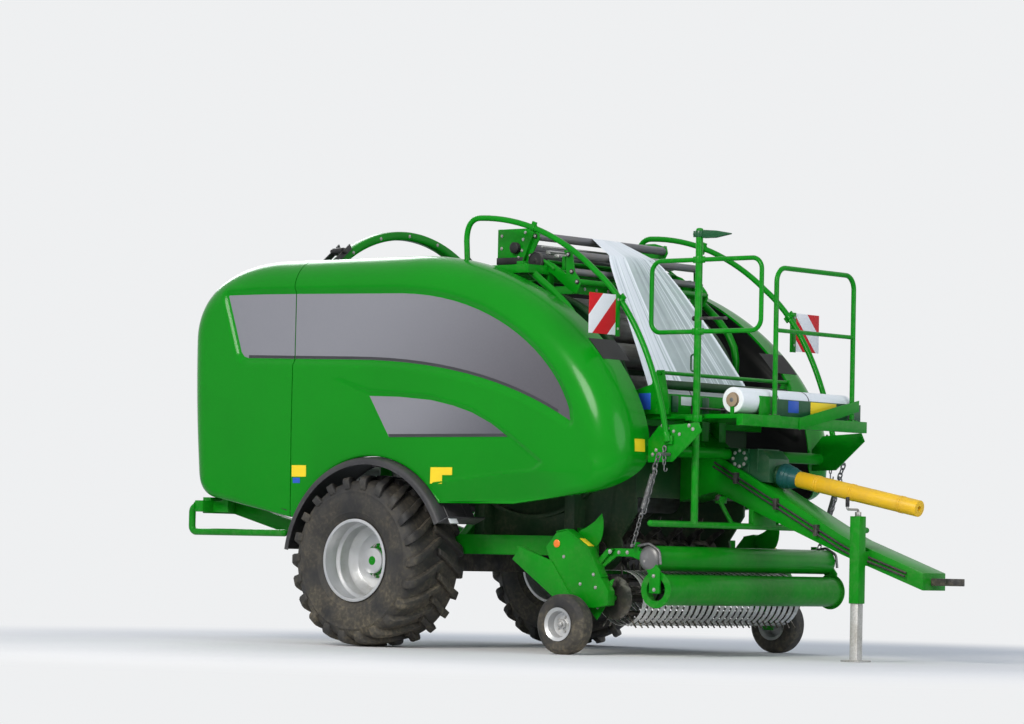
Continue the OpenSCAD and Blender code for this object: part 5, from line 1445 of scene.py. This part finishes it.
def make_pickup():
    """Pick-up frame, tine reel with wire tines, stripper bands, crop roller and gauge wheels."""
    dressed("pickup_frame", "green", 0.003, 30)
    dressed("stripper_bands", "band", 0.0, 30)
    dressed("tine_reel", "tine", 0.0, 30)
    edges, bolts, tags, caps, green = [], [], [], [], []
    for side in (1, -1):
        # flange on the shield's front edge, its bolts and reflector
        rim = [(1.674, 0.851), (1.764, 0.866), (1.960, 0.740), (2.076, 0.540)]
        over = [(1.672, 0.858), (1.766, 0.874), (1.967, 0.745), (2.082, 0.544)]
        edges.append(plate(rim + over[::-1], side * 1.064, side * 1.1475, 0.001))
        bolts.append(hexes([at(x, side * 1.1405, z) for x, z in ((1.742, 0.680), (1.894, 0.492),
                                                                 (2.030, 0.470), (2.010, 0.560))],
                           (0, side, 0), 0.009, 0.008))
        bolts.append(hexes([at(x, side * 1.0655, z) for x, z in ((2.173, 0.718), (2.246, 0.718),
                                                                 (2.400, 0.660), (2.480, 0.560),
                                                                 (2.485, 0.465))], (0, side, 0), 0.010,
                           0.009))
        disc = turned_part([(0.001, side * 1.1400), (0.026, side * 1.1400), (0.028, side * 1.1410),
                            (0.028, side * 1.1435), (0.025, side * 1.1455), (0.001, side * 1.1465)],
                           at(1.677, 0, 0.771), "Y", 40)
        finish(disc, f"reflector_{'left' if side > 0 else 'right'}", "orange", body="pickup")
        tags.append(slab([at(1.872, side * 1.070, 0.8070), at(1.952, side * 1.070, 0.7556),
                          at(1.952, side * 1.128, 0.7556), at(1.872, side * 1.128, 0.8070)],
                         (0.002, 0, 0.0032), 0.0004))
        # second stand, the bowed sheet behind the shield and the arm's channel
        green.append(plate([(1.246, 0.748), (1.300, 0.748), (1.400, 0.712), (1.540, 0.655), (1.700, 0.560),
                            (1.700, 0.470), (1.500, 0.585), (1.262, 0.712)], side * 1.050, side * 1.064,
                           0.003))
        green.append(plate([(1.790, 0.800), (1.800, 0.860), (1.870, 0.890), (1.940, 0.932), (2.000, 0.985),
                            (2.013, 0.940), (2.016, 0.890), (2.010, 0.840), (1.994, 0.795), (1.966, 0.762),
                            (1.930, 0.745)], side * 1.043, side * 1.0495, 0.001))
        green.append(slab([at(2.138, side * 1.066, 0.742), at(2.080, side * 1.066, 0.742),
                           at(1.880, side * 1.066, 0.552), at(1.938, side * 1.066, 0.552)],
                          (0, side * 0.020, 0), 0.004))
        green.append(plate([(1.900, 0.380), (2.000, 0.478), (2.140, 0.535), (2.060, 0.330), (1.992, 0.243),
                            (1.940, 0.300)], side * 1.066, side * 1.072, 0.002))
        bolts.append(hexes([at(2.110, side * 1.086, 0.722), at(1.930, side * 1.086, 0.575)], (0, side, 0),
                           0.012, 0.010))
        bolts.append(hexes([at(2.020, side * 1.072, 0.440), at(2.000, side * 1.072, 0.330)], (0, side, 0),
                           0.009, 0.008))
        # rounded end and bow of the upper roller
        caps.append(turned_part([(0.001, side * 1.0495), (0.0875, side * 1.0495), (0.0880, side * 1.052),
                                 (0.080, side * 1.064), (0.055, side * 1.072), (0.001, side * 1.075)],
                                at(*UPPER_ROLLER), "Y", 56))
        caps.append(tube(bends([at(2.330, side * 1.058, 0.765), at(2.430, side * 1.058, 0.782),
                                at(2.520, side * 1.058, 0.735), at(2.532, side * 1.058, 0.640)], 0.045, 6),
                         0.010, 16))
    for name, pieces, paint in (("shield_flanges", edges, "green"), ("pickup_sheets", green, "green"),
                                ("pickup_bolts", bolts, "zinc"), ("pickup_tags", tags, "sticker_yellow"),
                                ("upper_roller_ends", caps, "spring")):
        finish(joined(pieces), name, paint, 40, body="pickup")
    # crop roller: an open drum with discs and spokes inside its ends; the discs are black and the spokes
    # near-black green, painted shade deep in the ends
    c = at(*CROP_ROLLER)
    skin = turned_part([(0.079, -1.0405), (0.105, -1.0405), (0.108, -1.037), (0.108, 1.037),
                        (0.105, 1.0405), (0.079, 1.0405)], c, "Y", 64)
    rings = [turned_part([(0.107, y - 0.005), (0.1085, y - 0.004), (0.1085, y + 0.004), (0.107, y + 0.005)],
                         c, "Y", 64) for y in (-0.7, 0.0, 0.7)]
    rings += [turned_part([(0.080, y - 0.004), (0.127, y - 0.004), (0.1285, y), (0.127, y + 0.004),
                           (0.080, y + 0.004)], c, "Y", 64) for y in (-1.0425, 1.0425)]
    finish(joined(rings + [skin]), "crop_drum", "green", 40, ("crop_roller",), body="crop_roll")
    inner, spider = [], []
    for side in (1, -1):
        inner.append(sleeve(0.0160, 0.0800, side * 0.975, side * 0.985, c, "Y", 48))
        spider.append(sleeve(0.0160, 0.030, side * 0.984, side * 1.036, c, "Y", 32))
        arm = block(c + Vector((0.026, side * 0.984 - 0.002, -0.006)),
                    c + Vector((0.0795, side * 0.984 + 0.026 * side, 0.006)), 0.002)
        spider += [arm] + [turned(arm, 2 * pi * k / 3, "Y", c) for k in (1, 2)]
    finish(joined(inner), "crop_drum_shade_discs", "shade_black", body="crop_roll")
    finish(joined(spider), "crop_drum_spiders", "shade_green", body="crop_roll")
    for hand, side in (("left", 1), ("right", -1)):
        dressed("gauge_tyre_" + hand, "tyre", 0.003, 30)
        c = at(GAUGE_X, side * GAUGE_Y, GAUGE_Z)
        dish = turned_part([(0.0145, side * 0.045), (0.030, side * 0.045), (0.034, side * 0.040),
                            (0.034, side * 0.022), (0.060, side * 0.014), (0.082, side * 0.020),
                            (0.090, side * 0.052), (0.094, side * 0.072), (0.108, side * 0.0785),
                            (0.117, side * 0.0835), (0.117, side * 0.0800), (0.100, side * 0.0690),
                            (0.100, side * -0.0700), (0.117, side * -0.0810), (0.117, side * -0.0840),
                            (0.094, side * -0.0740), (0.090, side * -0.060), (0.086, side * 0.004),
                            (0.030, side * 0.000), (0.030, side * -0.045), (0.0145, side * -0.045)], c, "Y",
                           64)
        finish(dish, "gauge_dish_" + hand, "rim", 34, ("gauge_rim_" + hand,), body="gauge_wheel_" + hand)
        nuts = [c + Vector((0.050 * cos(a), side * 0.0165, 0.050 * sin(a)))
                for a in np.linspace(0, 2 * pi, 6)[:5]]
        cap = turned_part([(0.001, side * 0.070), (0.012, side * 0.068), (0.020, side * 0.060),
                           (0.021, side * 0.045), (0.001, side * 0.045)], c, "Y", 32)
        finish(joined([hexes(nuts, (0, side, 0), 0.008, 0.010), cap]), "gauge_nuts_" + hand, "zinc",
               body="gauge_wheel_" + hand)


# Drawbar

JACK_X, JACK_Y = 3.600, -0.230
COVER = (2.520, -0.150, 1.400)
COVER_BOLTS = 0.056


def link(centre, along, flat, pitch, r):
    """One chain link round a centre."""
    along, flat = Vector(along).normalized(), Vector(flat).normalized()
    half, width = pitch / 2 - r * 0.2, pitch * 0.33
    points = []
    for k in range(20):
        a = 2 * pi * k / 20
        points.append(centre + along * (half * np.sign(cos(a)) * abs(cos(a)) ** 0.6) + flat
                      * (width * np.sign(sin(a)) * abs(sin(a)) ** 0.8))
    line = bpy.data.curves.new("line", "CURVE")
    line.dimensions = "3D"
    line.bevel_depth = r
    line.bevel_resolution = 2
    s = line.splines.new("POLY")
    s.points.add(len(points) - 1)
    s.use_cyclic_u = True
    for point, p in zip(s.points, points):
        point.co = (p[0], p[1], p[2], 1)
    o = bpy.data.objects.new("link", line)
    bpy.context.collection.objects.link(o)
    choose(o)
    bpy.ops.object.convert(target="MESH")
    return bpy.context.object


def chain(p, q, pitch, r):
    """A chain of links from p to q."""
    p, q = Vector(p), Vector(q)
    along = (q - p).normalized()
    count = max(2, round((q - p).length / pitch))
    side = Vector((0, 1, 0))
    other = along.cross(side).normalized()
    return joined([link(p.lerp(q, (k + 0.5) / count), along, side if k % 2 else other,
                        (q - p).length / count * 1.28, r) for k in range(count)])


def coil(p, q, radius, wire, turns):
    """A helical spring with hooked ends."""
    p, q = Vector(p), Vector(q)
    along = (q - p).normalized()
    side = along.cross(Vector((0, 1, 0))).normalized()
    other = along.cross(side).normalized()
    path = [p]
    steps = turns * 14
    a0, a1 = p.lerp(q, 0.12), p.lerp(q, 0.88)
    for k in range(steps + 1):
        a = 2 * pi * k / 14
        path.append(a0.lerp(a1, k / steps) + side * radius * cos(a) + other * radius * sin(a))
    return tube(path + [q], wire, 8)


def make_drawbar():
    """Drawbar, hitch eye, gearbox, drive shaft, jack, lift springs and arm plates."""
    dressed("drawbar", "green", 0.006, 30)
    dressed("hitch_eye", "black", 0.004, 30)
    dressed("gearbox", "dark_green", 0.006, 30)
    dressed("jack_leg", "zinc", 0.003, 30)
    dressed("arm_plates", "green", 0.003, 30)
    dressed("pto_shaft", "yellow", 0.003, 30)
    a, b = at(2.790, 0, 1.285), at(3.950, 0, 1.060)
    way = (b - a).normalized()
    ribs = [drum(a + way * d, a + way * (d + 0.012), 0.0605, 40, bevel=0.002)
            for d in (0.30, 0.32, 0.60, 0.62, 1.02, 1.04)]
    finish(joined(ribs), "shaft_guard_ribs", "yellow")
    cone = [drum(a + way * 0.006, a + way * 0.045, 0.088, 48, bevel=0.004),
            drum(a + way * 0.045, a + way * 0.150, 0.086, 48, r2=0.060)]
    cone += [drum(a + way * d, a + way * (d + 0.008), 0.089 - 0.20 * (d - 0.03), 48, bevel=0.002)
             for d in (0.030, 0.060, 0.090)]
    finish(joined(cone), "shaft_guard_cone", "teal")
    # gearbox: ribs, covers and bolts
    ribs, bolts = [], []
    for x in (2.42, 2.50, 2.58, 2.66):
        ribs.append(brick((x - 0.006, -0.130, 1.300 if x > 2.5 else 1.400), (x + 0.006, 0.130, 1.470),
                          0.003))
    ribs.append(drum(a - way * 0.030, a - way * 0.004, 0.074, 40, bevel=0.004))
    ribs.append(drum(at(2.520, -0.118, 1.400), at(*COVER), 0.070, 40, bevel=0.004))
    finish(joined(ribs), "gearbox_ribs", "dark_green")
    for k in range(8):
        t = 2 * pi * k / 8
        bolts.append(at(COVER[0] + COVER_BOLTS * cos(t), COVER[1], COVER[2] + COVER_BOLTS * sin(t)))
    # pipes clipped along the drawbar, with their clips
    pipes, clips = [], []
    for k, y in enumerate((-0.152, 0.152, -0.166, 0.166)):
        z = 0.06 + 0.03 * (k // 2)
        pipes.append(tube([at(2.300, y, 1.433 - z), at(3.390, y, 0.872 - z), at(3.470, y, 0.836 - z),
                           at(3.950, y, 0.666 - z * 0.8)], 0.008, 14))
    for x, z in ((2.50, 1.330), (2.85, 1.150), (3.20, 0.970)):
        for s in (1, -1):
            clips.append(brick((x - 0.015, min(s * 0.139, s * 0.178), z - 0.110),
                               (x + 0.015, max(s * 0.139, s * 0.178), z - 0.030), 0.002))
    finish(joined(pipes), "drawbar_pipes", "rubber", 40)
    finish(joined(clips), "pipe_clips", "black")
    crank = [drum(at(JACK_X, JACK_Y, 0.998), at(JACK_X, JACK_Y, 1.030), 0.022, 24, bevel=0.003),
             tube(bends([at(JACK_X, JACK_Y, 1.020), at(JACK_X, JACK_Y, 1.045),
                         at(JACK_X, JACK_Y - 0.130, 1.045), at(JACK_X, JACK_Y - 0.130, 1.110)], 0.014, 5),
                  0.009, 16)]
    finish(joined(crank), "jack_crank", "zinc", 40)
    grip = drum(at(JACK_X, JACK_Y - 0.130, 1.062), at(JACK_X, JACK_Y - 0.130, 1.128), 0.014, 20,
                bevel=0.003)
    finish(grip, "jack_grip", "rubber")
    # arm plates: bolts; spring and chains that carry the pick-up
    steel = []
    for side in (1, -1):
        y = side * 1.110
        bolts += [at(x, side * 0.9868, z) for x, z in ((2.702, 1.600), (2.735, 1.575), (2.420, 1.430),
                                                       (2.390, 1.400))]
        pin = [drum(at(2.540, side * 0.9872, 1.400), at(2.540, side * 1.118, 1.400), 0.0118, 24,
                    bevel=0.002)]
        low = at(2.330, y, 0.775)
        ring = at(2.398, y, 0.985)
        top = at(2.500, y, 1.295)
        steel += pin + [chain(at(2.540, y, 1.400), top, 0.036, 0.0055),
                        chain(top + Vector((0.012, 0, -0.005)), ring + Vector((0.020, 0, 0.006)), 0.034,
                              0.0050), chain(ring, low, 0.032, 0.0045)]
        steel.append(coil(top, ring, 0.0155, 0.0042, 40))
        steel.append(tube([top, ring], 0.006, 12))
        steel += [ball(top, 0.016, 8), ball(ring, 0.014, 8)]
        steel.append(drum(at(2.322, side * 1.090, 0.765), at(2.322, side * 1.122, 0.765), 0.0110, 20,
                          bevel=0.002))
        tail = side * 0.998
        steel.append(chain(at(2.500, tail, 1.455), at(2.500, tail, 1.330), 0.030, 0.0042))
        steel.append(tube(bends([at(2.500, tail, 1.335), at(2.500, tail, 1.285), at(2.525, tail, 1.285),
                                 at(2.525, tail, 1.305)], 0.010, 5), 0.005, 12))
        steel.append(drum(at(2.500, side * 0.9862, 1.457), at(2.500, side * 1.004, 1.457), 0.008, 16,
                          bevel=0.001))
    finish(joined(steel), "lift_springs", "spring", 50, ("lift_chains",))
    right = [p for p in bolts if p.y < 0]
    left = [p for p in bolts if p.y >= 0]
    finish(joined([hexes(right, (0, -1, 0), 0.010, 0.008), hexes(left, (0, 1, 0), 0.010, 0.008)]),
           "arm_bolts", "zinc")


# The stage

CAMERA = (17.8925, -22.740, 0.6715)
AZIMUTH, ELEVATION, ROLL = 0.69296, 0.049109, 0.0214096
LENS = 139.24
FLOOR = 160
PALE = (0.86, 0.87, 0.88)


def make_stage(looks):
    """Pale floor, soft lights, world and the photo's camera."""
    scene = bpy.context.scene
    rest()
    bpy.ops.mesh.primitive_plane_add(size=FLOOR, location=(0, 0, 0))
    floor = bpy.context.object
    floor.name = "floor"
    m = bpy.data.materials.new("floor")
    m.use_nodes = True
    w = Wiring(m.node_tree)
    shader = m.node_tree.nodes["Principled BSDF"]
    shader.inputs["Roughness"].default_value = 0.9
    tone = w.blend(w.ramp(w.noise(0.6, 2.0), 0.3, 0.7), (0.735, 0.715, 0.69, 1), (0.765, 0.745, 0.72, 1))
    w.link(tone, shader.inputs["Base Color"])
    x, y, z = w.add("ShaderNodeSeparateXYZ", {0: w.place()}).outputs[:3]
    away = w.maths("SQRT", w.plus(w.times(x, x), w.times(y, y)), 0.0)
    far = w.times(w.ramp(away, 3.9, 7.5), w.add("ShaderNodeLightPath").outputs["Is Camera Ray"])
    glow = w.add("ShaderNodeEmission", {"Color": (*PALE, 1), "Strength": 1.0})
    both = w.add("ShaderNodeMixShader", {0: far, 1: shader.outputs[0], 2: glow.outputs[0]})
    w.link(both.outputs[0], m.node_tree.nodes["Material Output"].inputs["Surface"])
    floor.data.materials.append(m)
    world = bpy.data.worlds.new("studio")
    scene.world = world
    world.use_nodes = True
    tree = world.node_tree
    for n in list(tree.nodes):
        tree.nodes.remove(n)
    w = Wiring(tree)
    path = w.add("ShaderNodeLightPath").outputs
    rays = w.maths("MAXIMUM", w.maths("MAXIMUM", path["Is Camera Ray"], path["Is Glossy Ray"]),
                   path["Is Transmission Ray"])
    place = w.add("ShaderNodeTexCoord").outputs["Generated"]
    z = w.add("ShaderNodeSeparateXYZ", {0: place}).outputs["Z"]
    sky = w.blend(w.ramp(z, -0.1, 0.8), (0.78, 0.80, 0.83, 1), (0.50, 0.62, 0.85, 1))
    light = w.add("ShaderNodeBackground", {"Color": sky, "Strength": looks.ambient})
    seen = w.add("ShaderNodeBackground", {"Color": (*PALE, 1), "Strength": 1.0})
    both = w.add("ShaderNodeMixShader", {0: rays, 1: light.outputs[0], 2: seen.outputs[0]})
    out = w.add("ShaderNodeOutputWorld")
    tree.links.new(both.outputs[0], out.inputs["Surface"])
    for name, place, size, power, colour in (("key", (2.5, -13.5, 8.5), 5.5, looks.key, (1.0, 0.965, 0.91)),
                                             ("fill", (12.0, -2.5, 5.0), 7.0, looks.fill,
                                              (0.90, 0.95, 1.0)),
                                             ("back", (-11.0, 5.5, 8.0), 6.0, looks.fill * 1.2,
                                              (0.95, 0.97, 1.0))):
        rest()
        bpy.ops.object.light_add(type="AREA", location=place)
        lamp = bpy.context.object
        lamp.name = name
        lamp.data.shape = "DISK"
        lamp.data.size = size
        lamp.data.energy = power
        lamp.data.color = colour
        lamp.rotation_euler = (Vector((-0.3, 0, 1.2)) - Vector(place)).to_track_quat("-Z", "Y").to_euler()
    ahead = Vector((-sin(AZIMUTH) * cos(ELEVATION), cos(AZIMUTH) * cos(ELEVATION), sin(ELEVATION)))
    right = Vector((cos(AZIMUTH), sin(AZIMUTH), 0))
    up = right.cross(ahead)
    right, up = right * cos(ROLL) + up * sin(ROLL), up * cos(ROLL) - right * sin(ROLL)
    data = bpy.data.cameras.new("photo")
    data.lens = LENS
    data.sensor_width = 36.0
    data.clip_end = 300
    camera = bpy.data.objects.new("photo", data)
    bpy.context.collection.objects.link(camera)
    matrix = Matrix((right, up, -ahead)).transposed().to_4x4()
    camera.matrix_world = Matrix.Translation(CAMERA) @ matrix
    scene.camera = camera
    scene.view_settings.view_transform = "Standard"


# The add-on

class BALER_Sizes(bpy.types.PropertyGroup):
    lugs: bpy.props.IntProperty(name="Tyre lugs", description="Chevron lugs on each half of a road tyre",
                                default=22, min=12, max=32)
    fine: bpy.props.BoolProperty(name="Fine shells",
                                 description="Model the side shells with the dense grid", default=True)


class BALER_Looks(bpy.types.PropertyGroup):
    green: bpy.props.FloatVectorProperty(name="Green", description="Paint of the shells and the frame",
                                         default=(0.002, 0.235, 0.006), subtype="COLOR", min=0, max=1)
    key: bpy.props.FloatProperty(name="Key light", description="Power of the large light", default=1500.0,
                                 min=0, unit="POWER")
    fill: bpy.props.FloatProperty(name="Fill light", description="Power of the front light", default=420.0,
                                  min=0, unit="POWER")
    ambient: bpy.props.FloatProperty(name="Ambient", description="Strength of the sky's light",
                                     default=0.62, min=0)


class BALER_OT_materials(bpy.types.Operator):
    """Make the procedural materials"""
    bl_idname = "baler.materials"
    bl_label = "Materials"

    def execute(self, context):
        make_materials(context.scene.baler_looks.green)
        return {"FINISHED"}


class BALER_OT_shells(bpy.types.Operator):
    """Model the rear shells and side doors with their inlays and blank stickers"""
    bl_idname = "baler.shells"
    bl_label = "Shells and doors"

    def execute(self, context):
        make_shells(context.scene.baler_sizes.fine)
        return {"FINISHED"}


class BALER_OT_wheels(bpy.types.Operator):
    """Model the road tyres, rims, hubs and nuts"""
    bl_idname = "baler.wheels"
    bl_label = "Wheels"

    def execute(self, context):
        make_wheels(context.scene.baler_sizes.lugs)
        return {"FINISHED"}


class BALER_OT_fenders(bpy.types.Operator):
    """Model the fenders with feet, bolts and labels"""
    bl_idname = "baler.fenders"
    bl_label = "Fenders"

    def execute(self, context):
        make_fenders()
        return {"FINISHED"}


class BALER_OT_ring(bpy.types.Operator):
    """Model the wrapping ring with its dispensers"""
    bl_idname = "baler.ring"
    bl_label = "Wrapping ring"

    def execute(self, context):
        make_ring()
        return {"FINISHED"}


class BALER_OT_frames(bpy.types.Operator):
    """Model the frames, chamber, guard tubes and lamps"""
    bl_idname = "baler.frames"
    bl_label = "Frames"

    def execute(self, context):
        make_frames()
        return {"FINISHED"}


class BALER_OT_hoops(bpy.types.Operator):
    """Model the front guard hoops and the warning boards"""
    bl_idname = "baler.hoops"
    bl_label = "Hoops and boards"

    def execute(self, context):
        make_hoops()
        make_boards()
        return {"FINISHED"}


class BALER_OT_platform(bpy.types.Operator):
    """Model the platform, railings, applicator, rolls and drawn film"""
    bl_idname = "baler.platform"
    bl_label = "Platform and film"

    def execute(self, context):
        make_platform()
        make_applicator()
        make_film()
        return {"FINISHED"}


class BALER_OT_pickup(bpy.types.Operator):
    """Model the pick-up with its reel, bands, roller and gauge wheels"""
    bl_idname = "baler.pickup"
    bl_label = "Pick-up"

    def execute(self, context):
        make_pickup()
        return {"FINISHED"}


class BALER_OT_drawbar(bpy.types.Operator):
    """Model the drawbar, gearbox, drive shaft, springs, chains and jack"""
    bl_idname = "baler.drawbar"
    bl_label = "Drawbar"

    def execute(self, context):
        make_drawbar()
        return {"FINISHED"}


class BALER_OT_stage(bpy.types.Operator):
    """Set the floor, the lights and the photo's camera"""
    bl_idname = "baler.stage"
    bl_label = "Stage"

    def execute(self, context):
        make_stage(context.scene.baler_looks)
        return {"FINISHED"}


ORDER = ("materials", "shells", "wheels", "fenders", "ring", "frames", "hoops", "platform", "pickup",
         "drawbar", "stage")


class BALER_PT_panel(bpy.types.Panel):
    """Sizes, colours and every building step"""
    bl_idname = "BALER_PT_panel"
    bl_label = "Baler-wrapper"
    bl_space_type = "VIEW_3D"
    bl_region_type = "UI"
    bl_category = "Baler"

    def draw(self, context):
        scene = context.scene
        for group in (scene.baler_sizes, scene.baler_looks):
            for key in group.bl_rna.properties.keys():
                if key not in ("rna_type", "name"):
                    self.layout.prop(group, key)
        for key in ORDER:
            self.layout.operator("baler." + key)


CLASSES = (BALER_Sizes, BALER_Looks, BALER_OT_materials, BALER_OT_shells, BALER_OT_wheels, BALER_OT_fenders,
           BALER_OT_ring, BALER_OT_frames, BALER_OT_hoops, BALER_OT_platform, BALER_OT_pickup,
           BALER_OT_drawbar, BALER_OT_stage, BALER_PT_panel)


def register():
    for kind in CLASSES:
        bpy.utils.register_class(kind)
    bpy.types.Scene.baler_sizes = bpy.props.PointerProperty(type=BALER_Sizes)
    bpy.types.Scene.baler_looks = bpy.props.PointerProperty(type=BALER_Looks)


def unregister():
    del bpy.types.Scene.baler_looks
    del bpy.types.Scene.baler_sizes
    for kind in reversed(CLASSES):
        bpy.utils.unregister_class(kind)


def main():
    register()
    for key in ORDER:
        getattr(bpy.ops.baler, key)()


if __name__ == "__main__":
    main()
